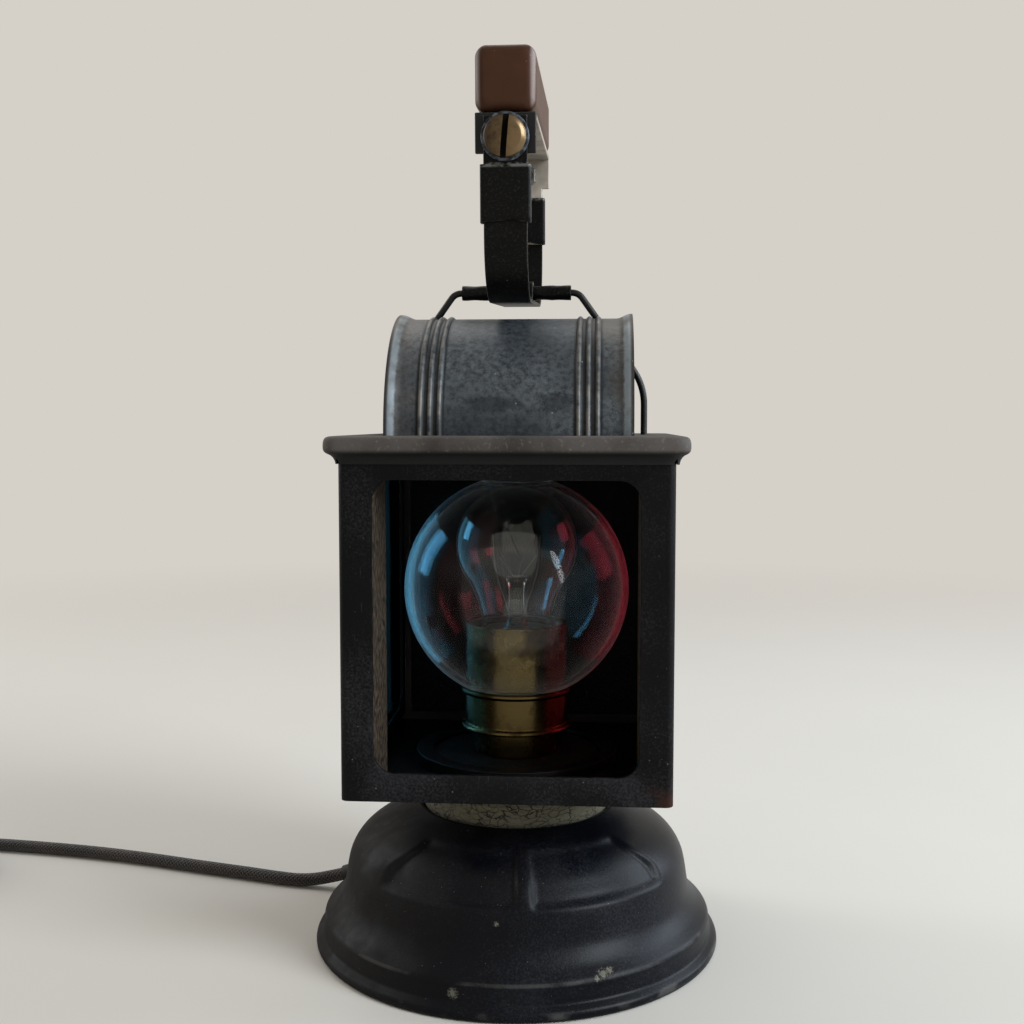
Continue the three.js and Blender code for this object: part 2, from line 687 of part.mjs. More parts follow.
// Bail: one bent wire. Its feet pass the lid, and its sloping runs pass the hood's crown.
const bailTop = lidTop + bailRise - lidRise;
const kneeTop = lidTop + bailKnee - lidRise;
const crownUnder = lidTop - sheet;
const bailEnd = crownUnder - bailNutHeight - trim;
const hoodHalf = bailFoot - hoodClearance;
const ribCentre = hoodHalf - ribInset;
const bailShoulder = ribCentre - shoulderInset;
const ferruleHalf = bailShoulder - ferruleInset;
const bailCorners = [
  [-bailFoot, bailEnd], [-bailFoot, kneeTop], [-bailShoulder, bailTop],
  [bailShoulder, bailTop], [bailFoot, kneeTop], [bailFoot, bailEnd],
].map(([x, z]) => new THREE.Vector3(x, 0, z));
const bailPath = bentPath(bailCorners, [kneeBend, shoulderBend, shoulderBend, kneeBend]);
const bailSteps = 44;

// Hood: a half barrel with three ribs near each flared end, and a pierced baffle inside each rib group
const ribSpots = [-1, 0, 1].map((i) => ribCentre + i * ribPitch);
const flareSteps = [[0, 0], [0.6, 0.45], [1, 1]];
const hoodOuterHalf = [
  ...ribSpots.flatMap((x) => [
    [x - ribWidth / 2, hoodRadius], [x, hoodRadius + ribHeight], [x + ribWidth / 2, hoodRadius]]),
  ...flareSteps.map(([along, up]) => (
    [hoodHalf - flareLength * (1 - along), hoodRadius + flareHeight * up])),
];
const hoodInnerHalf = flareSteps.map(([along, up]) => (
  [hoodHalf - flareLength * (1 - along), hoodRadius - hoodWall + flareHeight * up])).reverse();
const mirrored = (points) => points.map(([x, radius]) => [-x, radius]).reverse();
const hoodOutline = [
  ...mirrored(hoodOuterHalf), ...hoodOuterHalf, ...hoodInnerHalf, ...mirrored(hoodInnerHalf),
].map(([x, radius]) => [radius, x]);
const underHood = block(
  [-hoodHalf - over, hoodHalf + over], [-2 * hoodRadius, 2 * hoodRadius], [-2 * hoodRadius, 0]);
part(lampCase, 'hood', cut(
  cut(turnedX(hoodOutline, 32), [underHood]).translate(0, 0, lidTop),
  [tube(bailPath, bailRadius + 2 * gap, 8, bailSteps)],
), hoodMetal);
const baffleRadius = hoodRadius - hoodWall - gap;
const holeRows = [0, 1, 2];
const holeColumns = [-2, -1, 0, 1, 2];
const baffleHoles = holeRows.flatMap((row) => holeColumns.map((column) => (
  [column * holePitch, baffleHole + baffleMargin + row * holePitch])))
  .filter(([y, z]) => Math.hypot(y, z) + baffleHole + baffleMargin < baffleRadius);
for (const [side, sign] of [['left', -1], ['right', 1]]) {
  const plate = cut(rod(baffleRadius, -trim / 2, trim / 2, 32).rotateY(Math.PI / 2), [
    underHood.clone().translate(0, 0, gap),
    ...baffleHoles.map(([y, z]) => (
      rod(baffleHole, -over, over, 6).rotateY(Math.PI / 2).translate(0, y, z))),
  ]);
  const baffleX = sign * (ribCentre - ribWidth / 2);
  part(lampCase, `hood_baffle_${side}`, plate.translate(baffleX, 0, lidTop), hoodMetal);
}
part(lampCase, 'bail', tube(bailPath, bailRadius, 6, bailSteps), blackSteel);
part(lampCase, 'bail_ferrule', turnedX([
  [bailRadius + gap, -ferruleHalf], [ferruleRadius, -ferruleHalf],
  [ferruleRadius, ferruleHalf], [bailRadius + gap, ferruleHalf],
], 12).translate(0, 0, bailTop), blackSteel);
for (const [side, x] of [['left', -bailFoot], ['right', bailFoot]]) {
  const nut = hexNut(bailRadius + gap, 2 * bailRadius + gap, crownUnder - bailNutHeight, crownUnder);
  part(lampCase, `bail_nut_${side}`, nut.translate(x, 0, 0), steel);
}

// Hinge: knuckles on a pin at the back left corner, one leaf on the case and one on the door
const pinHole = pinRadius + gap;
const knuckleRadius = pinHole + trim;
const pinX = -caseHalf + trim;
const doorInner = caseHalf + gap;
const doorOuter = doorInner + sheet;
const pinY = doorOuter + sheet;
const hingeBottom = caseBottom + hingeMargin;
const hingeTop = caseTop - hingeMargin;
const middleHalf = (hingeTop - hingeBottom) * hingeMiddleShare / 2;
const hingeMid = (hingeBottom + hingeTop) / 2;
const onPin = (geometry) => geometry.translate(pinX, pinY, 0);
const knuckle = (low, high) => onPin(rod(knuckleRadius, low, high, 14));
const knuckleRoom = (low, high) => onPin(rod(knuckleRadius + gap, low, high, 14));
const pinWay = onPin(rod(pinHole, hingeBottom - over, hingeTop + over, 12));
const caseLeaf = block(
  [-caseHalf - trim, -caseHalf], [pinY - leafLength - knuckleRadius, pinY], [hingeBottom, hingeTop]);
part(lampCase, 'hinge_leaf', cut(
  join([
    cut(caseLeaf, [knuckleRoom(hingeMid - middleHalf - gap, hingeMid + middleHalf + gap)]),
    knuckle(hingeBottom, hingeMid - middleHalf - gap),
    knuckle(hingeMid + middleHalf + gap, hingeTop),
  ]), [pinWay]), casePaint);
part(lampCase, 'hinge_pin', onPin(turned([
  [0, hingeBottom - trim], [pinRadius, hingeBottom - trim], [pinRadius, hingeTop + gap],
  [pinRadius + trim, hingeTop + gap], [pinRadius + trim, hingeTop + gap + trim],
  [0, hingeTop + gap + trim],
], 12)), steel);

// Door: the whole back wall on the hinge, with a pull knob
const doorLeft = pinX + knuckleRadius + gap;
const doorRight = innerHalf - gap;
const doorLow = doorwayBottom - doorwayMargin / 2;
const doorHigh = lidBottom - gap;
const middle = [hingeMid - middleHalf, hingeMid + middleHalf];
const doorLeaf = block(
  [doorLeft, pinX + knuckleRadius + leafLength], [doorOuter, doorOuter + trim], [hingeBottom, hingeTop]);
const leafBridge = block([pinX, doorLeft + trim], [doorOuter + gap, doorOuter + trim], middle);
part(door, 'door_panel', block(
  [doorLeft, doorRight], [doorInner, doorOuter], [doorLow, doorHigh]), casePaint);
part(door, 'door_hinge_leaf', cut(
  join([doorLeaf, leafBridge, knuckle(...middle)]), [pinWay]), casePaint);
const knobShares = [
  [0.5, 0], [0.5, 0.12], [0.36, 0.2], [0.36, 0.42], [0.9, 0.58], [1, 0.75], [0.8, 1], [0, 1]];
part(door, 'door_knob', turnedY(
  [[0, 0], ...knobShares.map(([r, y]) => [r * knobRadius, y * knobLength])], 16)
  .translate(innerHalf - knobInset, doorOuter, hingeMid), brass);

// Handle: everything is drawn about the bail's bar and then leans to the front
handle.position.set(0, 0, bailTop);
handle.rotation.x = handleLean * degree;
const strapInner = ferruleRadius + gap;
const strapLow = -strapInner - trim;
function strapEdge(halfSpan, low, bend) {
  const path = new THREE.Path();
  path.moveTo(-halfSpan, strapTop);
  path.lineTo(-halfSpan, low + bend);
  path.absarc(-halfSpan + bend, low + bend, bend, Math.PI, 1.5 * Math.PI);
  path.absarc(halfSpan - bend, low + bend, bend, 1.5 * Math.PI, 2 * Math.PI);
  path.lineTo(halfSpan, strapTop);
  return path.getPoints(7);
}
const strapShape = new THREE.Shape([
  ...strapEdge(strapHalfSpan, strapLow, strapBend),
  ...strapEdge(strapHalfSpan - trim, -strapInner, strapBend - trim).reverse(),
]);
const screwWay = rod(screwShank + gap, -strapHalfSpan - over, strapHalfSpan + over, 12)
  .rotateX(-Math.PI / 2).translate(0, 0, screwHeight);
part(handle, 'handle_strap', cut(
  prismX(strapShape, -strapWidth / 2, strapWidth / 2), [screwWay]), blackSteel);

const frameHalfSpan = strapHalfSpan - trim - gap;
const frameLegs = frameHalfSpan - frameGauge;
const tongueLow = sleeveBottom + gap;
const frameShape = polygon([
  [-frameHalfSpan, tongueLow], [-frameHalfSpan, frameTop], [frameHalfSpan, frameTop],
  [frameHalfSpan, tongueLow], [frameLegs, tongueLow], [frameLegs, frameTop - frameGauge],
  [-frameLegs, frameTop - frameGauge], [-frameLegs, tongueLow],
]);
const tangLow = frameTop - tangHeight;
const besideTongues = [-1, 1].map((sign) => {
  const edges = [strapWidth / 2, frameWidth].map((x) => sign * x).sort((p, q) => p - q);
  return block(edges, [-2 * frameHalfSpan, 2 * frameHalfSpan], [tongueLow - over, tangLow]);
});
part(handle, 'handle_frame', cut(
  prismX(frameShape, -frameWidth / 2, frameWidth / 2), [...besideTongues, screwWay]), steel);
part(handle, 'grip', new RoundedBoxGeometry(frameWidth, 2 * gripHalfLength, gripHeight, 2, gripCorner)
  .translate(0, 0, frameTop + gap + gripHeight / 2), bakelite);

const sleeveOuter = strapHalfSpan + gap + sleeveWall;
const sleeveInner = frameLegs - gap - sleeveWall;
const sleeveTop = sleeveBottom + sleeveHeight;
const washerInner = strapHalfSpan + gap;
const headInner = washerInner + washerGauge + gap;
const nutOuter = frameLegs - gap;
const headShares = [[1, 0], [1, 0.25], [0.88, 0.7], [0.6, 0.93], [0, 1]];
for (const [side, turn] of [['front', 0], ['back', Math.PI]]) {
  const atSide = (geometry) => geometry.rotateZ(turn);
  const sleeve = cut(
    block([-sleeveWidth / 2, sleeveWidth / 2], [-sleeveOuter, -sleeveInner], [sleeveBottom, sleeveTop]),
    [block([sleeveWall - sleeveWidth / 2, sleeveWidth / 2 - sleeveWall],
      [sleeveWall - sleeveOuter, -sleeveInner - sleeveWall], [sleeveBottom - over, sleeveTop + over])]);
  part(handle, `sleeve_${side}`, atSide(sleeve), blackSteel);
  const washer = turnedY([
    [screwShank + gap, washerInner], [washerRadius, washerInner],
    [washerRadius, washerInner + washerGauge], [screwShank + gap, washerInner + washerGauge],
  ], 20).rotateZ(Math.PI).translate(0, 0, screwHeight);
  part(handle, `washer_${side}`, atSide(washer), steel);
  const head = turnedY([
    [0, nutOuter - screwNut], [screwShank, nutOuter - screwNut], [screwShank, headInner],
    ...headShares.map(([r, y]) => [r * screwHeadRadius, headInner + y * screwHeadHeight]),
  ], 20).rotateZ(Math.PI).translate(0, 0, screwHeight);
  const slot = block([-slotWidth / 2, slotWidth / 2],
    [-headInner - 2 * screwHeadHeight, -headInner - screwHeadHeight / 2],
    [screwHeight - screwHeadRadius - over, screwHeight + screwHeadRadius + over]);
  part(handle, `screw_${side}`, atSide(cut(head, [slot])), brass);
  const nut = hexNut(screwShank + gap, screwNut, 0, frameGauge + gap)
    .rotateX(Math.PI / 2).translate(0, frameGauge + gap - nutOuter, screwHeight);
  part(handle, `screw_nut_${side}`, atSide(nut), steel);
}
const saddleOuter = strapInner + saddleGauge;
const footTop = gap + saddleGauge - strapInner;
const saddleSteps = 6;
const saddleArc = (radius, from, to) => [...Array(saddleSteps + 1).keys()].map((i) => {
  const turn = from + (to - from) * i / saddleSteps;
  return [radius * Math.cos(turn), radius * Math.sin(turn)];
});
part(handle, 'saddle_clip', prismX(polygon([
  [saddleOuter + saddleFoot, gap - strapInner], [saddleOuter + saddleFoot, footTop],
  [saddleOuter, footTop], ...saddleArc(saddleOuter, 0, Math.PI), [-saddleOuter, footTop],
  [-saddleOuter - saddleFoot, footTop], [-saddleOuter - saddleFoot, gap - strapInner],
  [-strapInner, gap - strapInner], ...saddleArc(strapInner, Math.PI, 0), [strapInner, gap - strapInner],
]), -saddleWidth / 2, saddleWidth / 2), blackSteel);

// Boot: a tapered strain relief through the base wall, with a bead inside
const bootBore = cordRadius + gap;
part(base, 'cord_grommet', alongExit(turned([
  [bootBore, -bootInside], [bootBead, -bootInside], [bootBead, bootBeadLength - bootInside],
  [bootRadius, bootBeadLength - bootInside], [bootRadius, 0],
  [bootTip, bootOutside], [bootBore, bootOutside],
], 14)), rubber);

// Lead inside the base, from the boot up through the nipple to the holder
const alongExitPoint = (distance) => exitPoint.clone().addScaledVector(exitDirection, distance);
const leadShares = [[0.45, 0.235], [0.18, 0.34], [0.03, 0.555], [0, 0.68], [0, 0.865], [0, 1]];
const leadEnd = nippleTop + gap;
const leadPath = new THREE.CatmullRomCurve3([
  alongExitPoint(-bootInside - gap),
  alongExitPoint(-bootInside - 4 * cordRadius),
  ...leadShares.map(([r, z]) => new THREE.Vector3(exitPoint.x * r, exitPoint.y * r, z * leadEnd)),
], false, 'centripetal');
part(base, 'inner_lead', tube(leadPath, cordRadius, 6, 16), textile);

// Cord route on the floor, from the boot to the coil beside the lantern
const cordFloor = cordRadius + floorLift;
const coilEntry = new THREE.Vector3(coilX + 2 * cordRadius, coilEntryY, cordFloor);
const cordRoute = [
  alongExitPoint(bootOutside + gap),
  new THREE.Vector3(-77, 35.8, 4.9),
  new THREE.Vector3(-84, 36.7, 3.2),
  new THREE.Vector3(-91, 37.3, 2.6),
  new THREE.Vector3(-101, 39.4, 2.6),
  new THREE.Vector3(-113, 43, 2.6),
  new THREE.Vector3(-136, 49.4, 2.6),
  new THREE.Vector3(-160, 56.4, 2.6),
  new THREE.Vector3(-184.5, 62.3, 2.6),
  new THREE.Vector3(-208.5, 66.4, 2.6),
  new THREE.Vector3(-232, 69.3, 2.6),
  new THREE.Vector3(-250, 71, 2.6),
  coilEntry.clone().add(new THREE.Vector3(2 * cordRadius + gap, 0, 0)),
  coilEntry.clone().add(new THREE.Vector3(gap, 0, 0)),
];
const freeCord = new THREE.CatmullRomCurve3(cordRoute, false, 'centripetal');
part(base, 'flex_cord', tube(freeCord, cordRadius, 8, 18), textile);

// Coil: each layer spirals in or out by one pitch a turn, and the cord climbs to the next layer in the
// half turn where the spiral reverses. Its mean radius follows from the cord's whole length.
const coilLength = cordLength - freeCord.getLength() - tailRun - 4 * cordRadius;
const layerTurns = coilTurns / coilLayers;
const coilStartShare = 0.25;
const coilMean = coilLength / (2 * Math.PI * coilTurns);
const coilOuter = coilMean + layerTurns * coilPitch / 2;
const coilInner = coilMean - layerTurns * coilPitch / 2;
const coilY = coilEntryY - coilOuter;

class CoilCurve extends THREE.Curve {
  spot(turns) {
    const layer = Math.min(Math.floor(turns / layerTurns), coilLayers - 1);
    const along = turns - layer * layerTurns;
    const radius = layer % 2 ? coilInner + coilPitch * along : coilOuter - coilPitch * along;
    let height = cordFloor;
    for (let reversal = 1; reversal < coilLayers; reversal += 1) {
      const climbed = THREE.MathUtils.clamp(2 * (turns - reversal * layerTurns) + 0.5, 0, 1);
      height += coilPitch * climbed;
    }
    const azimuth = (coilStartShare + turns) * 2 * Math.PI;
    return new THREE.Vector3(
      coilX + radius * Math.cos(azimuth), coilY + radius * Math.sin(azimuth), height);
  }

  getPoint(t, target = new THREE.Vector3()) {
    const straight = 2 * cordRadius;
    const total = coilLength + 2 * straight;
    const distance = t * total;
    const turns = THREE.MathUtils.clamp((distance - straight) / coilLength, 0, 1) * coilTurns;
    target.copy(this.spot(turns));
    if (distance < straight) target.x += straight - distance;
    if (distance > total - straight) target.y -= distance - total + straight;
    return target;
  }
}
const coilCurve = new CoilCurve();
const coilSteps = Math.round(24 * coilTurns);
coilCurve.arcLengthDivisions = 4 * coilSteps;
part(base, 'cord_coil', tube(coilCurve, cordRadius, 6, coilSteps), textile);

// Least gap of the coil to itself, measured between points more than half a turn apart
const spotsPerTurn = 48;
const coilSpots = [...Array(Math.round(spotsPerTurn * coilTurns) + 1).keys()]
  .map((i) => coilCurve.spot(i / spotsPerTurn));
let leastDistance = cordLength;
coilSpots.forEach((spot, i) => {
  for (let j = i + spotsPerTurn / 2; j < coilSpots.length; j += 1) {
    leastDistance = Math.min(leastDistance, spot.distanceTo(coilSpots[j]));
  }
});
console.log(`least gap of the coil to itself: ${(leastDistance - 2 * cordRadius).toFixed(2)} mm`);

// Tail from the top of the coil to the plug, which lies beside it
const tailStart = coilCurve.getPoint(1);
const plugZ = plugRadius + floorLift;
const tailShares = [[0, 0], [0.15, 0.01], [0.35, 0.2], [0.65, 0.8], [0.85, 0.99], [1, 1]];
const tailDrop = plugZ - tailStart.z;
const tailPath = new THREE.CatmullRomCurve3(tailShares.map(([along, down]) => new THREE.Vector3(
  tailStart.x, tailStart.y - gap - along * tailRun, tailStart.z + down * tailDrop)), false, 'centripetal');
part(base, 'cord_tail', tube(tailPath, cordRadius, 8, 8), textile);
const plugBack = tailStart.y - gap - tailRun - gap;
const atPlug = (geometry) => geometry.rotateZ(Math.PI).translate(tailStart.x, plugBack, plugZ);
const plugShares = [
  [0, 0], [0.3, 0], [0.36, 0.12], [0.42, 0.32], [0.88, 0.46], [1, 0.54], [1, 0.94], [0.92, 1], [0, 1]];
const plugOutline = plugShares.map(([r, y]) => [r * plugRadius, y * plugLength]);
part(base, 'plug_body', atPlug(turnedY(plugOutline, 20)), bakelite);
const pinShares = [[0, 0], [1, 0], [1, 0.9], [0.6, 1], [0, 1]];
const pinOutline = pinShares.map(([r, y]) => [r * plugPinRadius, plugLength + gap + y * plugPinLength]);
for (const [side, sign] of [['left', -1], ['right', 1]]) {
  const pin = turnedY(pinOutline, 10);
  part(base, `plug_pin_${side}`, atPlug(pin.translate(sign * plugPinSpacing / 2, 0, 0)), brass);
}

export default lantern;
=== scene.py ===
# A square railway hand lantern that was turned into a mains lamp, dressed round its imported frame.
# Metres, +Z up, front towards -Y, origin on the floor under the centre of the base.
import math

import bmesh
import bpy
from mathutils import Matrix, Vector


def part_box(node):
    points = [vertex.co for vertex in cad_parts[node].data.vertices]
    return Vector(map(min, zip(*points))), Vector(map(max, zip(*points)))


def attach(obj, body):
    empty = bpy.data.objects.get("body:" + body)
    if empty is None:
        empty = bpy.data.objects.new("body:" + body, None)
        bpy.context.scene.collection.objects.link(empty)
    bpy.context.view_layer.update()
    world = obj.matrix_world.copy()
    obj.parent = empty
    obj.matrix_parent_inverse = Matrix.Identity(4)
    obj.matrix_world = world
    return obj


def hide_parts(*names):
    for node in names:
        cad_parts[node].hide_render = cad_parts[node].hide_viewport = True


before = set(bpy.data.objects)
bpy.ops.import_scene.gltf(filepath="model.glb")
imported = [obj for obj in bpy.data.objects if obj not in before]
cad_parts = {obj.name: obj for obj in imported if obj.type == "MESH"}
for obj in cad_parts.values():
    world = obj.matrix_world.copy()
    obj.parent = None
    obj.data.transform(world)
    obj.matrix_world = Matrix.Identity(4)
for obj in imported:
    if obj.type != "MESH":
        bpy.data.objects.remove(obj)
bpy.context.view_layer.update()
scene = bpy.context.scene
scene.view_settings.view_transform = "Standard"

# Camera: a little to the right of the lantern and level with its case, looking slightly down, as the
# photograph was taken.
mm = 0.001
camera_place = Vector((29.9, -444.5, 187.3)) * mm
camera_tilt = math.radians(85.86)
camera_turn = math.radians(4.06)
camera_lens = 43.48
camera = bpy.data.objects.new("camera", bpy.data.cameras.new("camera"))
camera.location = camera_place
camera.rotation_euler = (camera_tilt, 0, camera_turn)
camera.data.lens = camera_lens
camera.data.sensor_width = 36
camera.data.clip_start = 10 * mm
scene.collection.objects.link(camera)
scene.camera = camera


# Studio: a pale floor under pale surroundings, a large soft lamp high at the right front, and weaker ones
# at the left, at the right back and above, which draw the edges.
class Socket:
    """A node's output. Sums on it add the Math nodes that they need."""

    def __init__(self, tree, output):
        self.tree = tree
        self.output = output

    def math(self, operation, *others):
        return self.tree.node("ShaderNodeMath", {"operation": operation}, [self, *others])

    def part(self, name):
        """Another output of the same node."""
        return Socket(self.tree, self.output.node.outputs[name])

    def __add__(self, other):
        return self.math("ADD", other)

    def __sub__(self, other):
        return self.math("SUBTRACT", other)

    def __rsub__(self, other):
        return self.tree.node("ShaderNodeMath", {"operation": "SUBTRACT"}, [other, self])

    def __mul__(self, other):
        return self.math("MULTIPLY", other)

    def __truediv__(self, other):
        return self.math("DIVIDE", other)

    def __pow__(self, other):
        return self.math("POWER", other)

    def __abs__(self):
        return self.math("ABSOLUTE")

    __radd__ = __add__
    __rmul__ = __mul__


class Tree:
    """A node tree that is written one node at a time."""

    def __init__(self, tree):
        self.tree = tree

    def node(self, kind, settings=None, inputs=(), output=0):
        made_node = self.tree.nodes.new(kind)
        for key, value in (settings or {}).items():
            setattr(made_node, key, value)
        pairs = inputs.items() if isinstance(inputs, dict) else enumerate(inputs)
        for key, value in pairs:
            if isinstance(value, Socket):
                self.tree.links.new(value.output, made_node.inputs[key])
            elif value is not None:
                made_node.inputs[key].default_value = value
        return Socket(self, made_node.outputs[output])

    def vector(self, x, y, z):
        return self.node("ShaderNodeCombineXYZ", None, [x, y, z])


def tone(red, green, blue):
    """A colour as it is seen on a screen, from 0 to 255, in the renderer's linear values."""
    return tuple((part / 255) ** 2.2 for part in (red, green, blue)) + (1.0,)


class Finish(Tree):
    """A material: one surface shader and the patterns that feed it."""

    def __init__(self, name):
        self.material = bpy.data.materials.new(name)
        self.material.use_nodes = True
        super().__init__(self.material.node_tree)
        self.shader = self.tree.nodes["Principled BSDF"]
        self.place = self.node("ShaderNodeTexCoord", output="Object")
        self.xyz = self.node("ShaderNodeSeparateXYZ", None, [self.place])

    def axis(self, name):
        return self.xyz.part(name)

    def away(self, point):
        """The distance from a point."""
        return self.node("ShaderNodeVectorMath", {"operation": "DISTANCE"}, [self.place, point], "Value")

    def mapped(self, stretch, turn=(0, 0, 0), source=None):
        return self.node("ShaderNodeMapping", None, {
            "Vector": source or self.place, "Scale": stretch, "Rotation": turn})

    def noise(self, scale, detail=3, stretch=(1, 1, 1), turn=(0, 0, 0), rough=0.55, source=None):
        return self.node("ShaderNodeTexNoise", None, {
            "Vector": self.mapped(stretch, turn, source), "Scale": scale, "Detail": detail,
            "Roughness": rough})

    def cells(self, scale, feature="F1", stretch=(1, 1, 1), source=None, output="Distance"):
        return self.node("ShaderNodeTexVoronoi", {"feature": feature}, {
            "Vector": self.mapped(stretch, (0, 0, 0), source), "Scale": scale}, output)

    def rise(self, value, low, high):
        """0 below low, 1 above high and smooth between; with low above high it falls."""
        return self.node("ShaderNodeMapRange", {"interpolation_type": "SMOOTHSTEP"}, {
            "Value": value, "From Min": low, "From Max": high})

    def mix(self, share, first, second):
        """Goes from the first to the second colour. A plain one is red, green and blue as for tone."""
        first, second = (part if isinstance(part, Socket) else tone(*part) for part in (first, second))
        return self.node("ShaderNodeMix", {"data_type": "RGBA"}, {0: share, 6: first, 7: second}, 2)

    def layered(self, colour, *layers):
        """A colour under layers of others, each with its share."""
        for share, upper in layers:
            colour = self.mix(share, colour, upper)
        return colour

    def edges(self, width, low=0.02, high=0.22):
        """1 along the edges of a piece, fading over the given width."""
        soft = self.node("ShaderNodeBevel", {"samples": 6}, {"Radius": width})
        plain = self.node("ShaderNodeNewGeometry", output="Normal")
        alike = self.node("ShaderNodeVectorMath", {"operation": "DOT_PRODUCT"}, [soft, plain], "Value")
        return self.rise(1 - alike, low, high)

    def specks(self, scale, size, kept):
        """Small dots: the cells' centres, of which a share is kept."""
        dots = self.rise(self.cells(scale), size, size * 0.6)
        chance = self.node("ShaderNodeSeparateColor", None, [self.cells(scale, output="Color")])
        return dots * chance.math("LESS_THAN", kept)

    def scratches(self, scale, turn, length=14, kept=0.73):
        """Thin lines that run one way and break off."""
        lines = self.noise(scale, 1, (1, 1, 1 / length), turn, 0.3)
        breaks = self.noise(scale / 12, 2)
        return self.rise(lines, kept, kept + 0.02) * self.rise(breaks, 0.5, 0.6)

    def bump(self, height, depth, under=None):
        return self.node("ShaderNodeBump", None, {
            "Height": height, "Distance": depth, "Strength": 1.0, "Normal": under})

    def grain(self, scale, depth, detail=3):
        """A bump of fine noise."""
        return self.bump(self.noise(scale, detail), depth)

    def surface(self, **inputs):
        for name, value in inputs.items():
            socket = self.shader.inputs[name.replace("_", " ")]
            if isinstance(value, Socket):
                self.tree.links.new(value.output, socket)
            else:
                socket.default_value = value

    def cover(self, share, shader):
        """Puts a share of another shader over the surface."""
        both = self.node("ShaderNodeMixShader", None, [share, Socket(self, self.shader.outputs[0]), shader])
        self.tree.links.new(both.output, self.tree.nodes["Material Output"].inputs["Surface"])


backdrop_tone = tone(212, 207, 199)
plain_light = 0.45
# For each lamp its place, width, height, power and colour.
lamp_facts = {
    "window": ((1.3, -0.72, 0.85), 0.7, 1.0, 29.0, (0.86, 0.94, 1.0)),
    "side": ((-1.25, 0.44, 0.66), 0.45, 0.9, 7.5, (0.94, 0.98, 1.0)),
    "right": ((1.6, 0.55, 0.8), 0.8, 1.2, 20.0, (0.76, 0.88, 1.0)),
    "above": ((-0.15, 0.55, 1.2), 0.7, 0.7, 3.0, (1.0, 0.98, 0.95)),
}
for lamp_name, (place, width, height, power, colour) in lamp_facts.items():
    lamp = bpy.data.objects.new(lamp_name, bpy.data.lights.new(lamp_name, "AREA"))
    lamp.data.shape = "RECTANGLE"
    lamp.data.size = width
    lamp.data.size_y = height
    lamp.data.energy = power
    lamp.data.color = colour
    lamp.location = place
    aim = Vector((0, 0, 0.15)) - Vector(place)
    lamp.rotation_euler = aim.to_track_quat("-Z", "Y").to_euler()
    scene.collection.objects.link(lamp)

scene.world = scene.world or bpy.data.worlds.new("surroundings")
scene.world.use_nodes = True
surroundings = Tree(scene.world.node_tree)
rays = surroundings.node("ShaderNodeLightPath")
seen_share = rays.part("Is Camera Ray").math("MAXIMUM", rays.part("Is Glossy Ray")).math(
    "MAXIMUM", rays.part("Is Transmission Ray"))
sky = surroundings.tree.nodes["Background"]
sky.inputs["Color"].default_value = backdrop_tone
surroundings.tree.links.new(
    (seen_share * (1 - plain_light) + plain_light).output, sky.inputs["Strength"])

floor_half = 4.0
floor_mesh = bpy.data.meshes.new("floor")
floor_mesh.from_pydata(
    [(-floor_half, -floor_half, 0), (floor_half, -floor_half, 0),
     (floor_half, floor_half, 0), (-floor_half, floor_half, 0)], [], [(0, 1, 2, 3)])
floor = bpy.data.objects.new("floor", floor_mesh)
scene.collection.objects.link(floor)
ground = Finish("floor_paint")
ground.surface(
    Base_Color=ground.mix(ground.noise(6), (202, 197, 189), (208, 203, 195)),
    Roughness=0.9)
fade_start, fade_end = 0.35, 1.3
floor_far = ground.rise(ground.away((0, 0, 0)), fade_start, fade_end)
backdrop = ground.node("ShaderNodeEmission", None, {"Color": backdrop_tone, "Strength": 1.0})
ground.cover(floor_far, backdrop)
floor_mesh.materials.append(ground.material)


# Mains cord: 1.8 m of two-core lead in a brown textile braid, 5 mm thick. It leaves the boot at the
# back left of the base, runs out on the floor past the picture's edge and is put away there in a coil.
def smooth_line(points, steps):
    """A smooth line through the points, with the given number of steps in each span."""
    spots = [Vector(point) for point in points]
    spots = [2 * spots[0] - spots[1], *spots, 2 * spots[-1] - spots[-2]]
    line = []
    for a, b, c, d in zip(spots, spots[1:], spots[2:], spots[3:]):
        before, span, after = ((q - p).length ** 0.5 for p, q in ((a, b), (b, c), (c, d)))
        start = ((b - a) / before - (c - a) / (before + span) + (c - b) / span) * span
        end = ((c - b) / span - (d - b) / (span + after) + (d - c) / after) * span
        for i in range(steps):
            t = i / steps
            line.append(b * (2 * t ** 3 - 3 * t ** 2 + 1) + start * (t ** 3 - 2 * t ** 2 + t)
                        + c * (3 * t ** 2 - 2 * t ** 3) + end * (t ** 3 - t ** 2))
    return [*line, spots[-2]]


def shaded(piece, degrees=38):
    """Shades a piece smooth, but for the edges that turn by more than an angle."""
    piece.data.shade_smooth()
    piece.data.set_sharp_from_angle(angle=math.radians(degrees))
    return piece


def made(name, points, faces, finish, loops=None):
    """A piece from points and faces; loops gives one pair of pattern places for each face corner."""
    mesh = bpy.data.meshes.new(name)
    mesh.from_pydata([tuple(point) for point in points], [], faces)
    mesh.update()
    if loops:
        layer = mesh.uv_layers.new(name="along")
        for corner, pair in zip(layer.data, loops):
            corner.uv = pair
    mesh.materials.append(finish.material)
    piece = bpy.data.objects.new(name, mesh)
    scene.collection.objects.link(piece)
    return shaded(piece)


def ring_faces(rings, count, ends=True):
    """Faces between closed rings of points that follow each other, and one face over each end."""
    faces = [(row * count + i, row * count + (i + 1) % count,
              (row + 1) * count + (i + 1) % count, (row + 1) * count + i)
             for row in range(rings - 1) for i in range(count)]
    if ends:
        last = (rings - 1) * count
        faces += [tuple(range(count))[::-1], tuple(range(last, last + count))]
    return faces


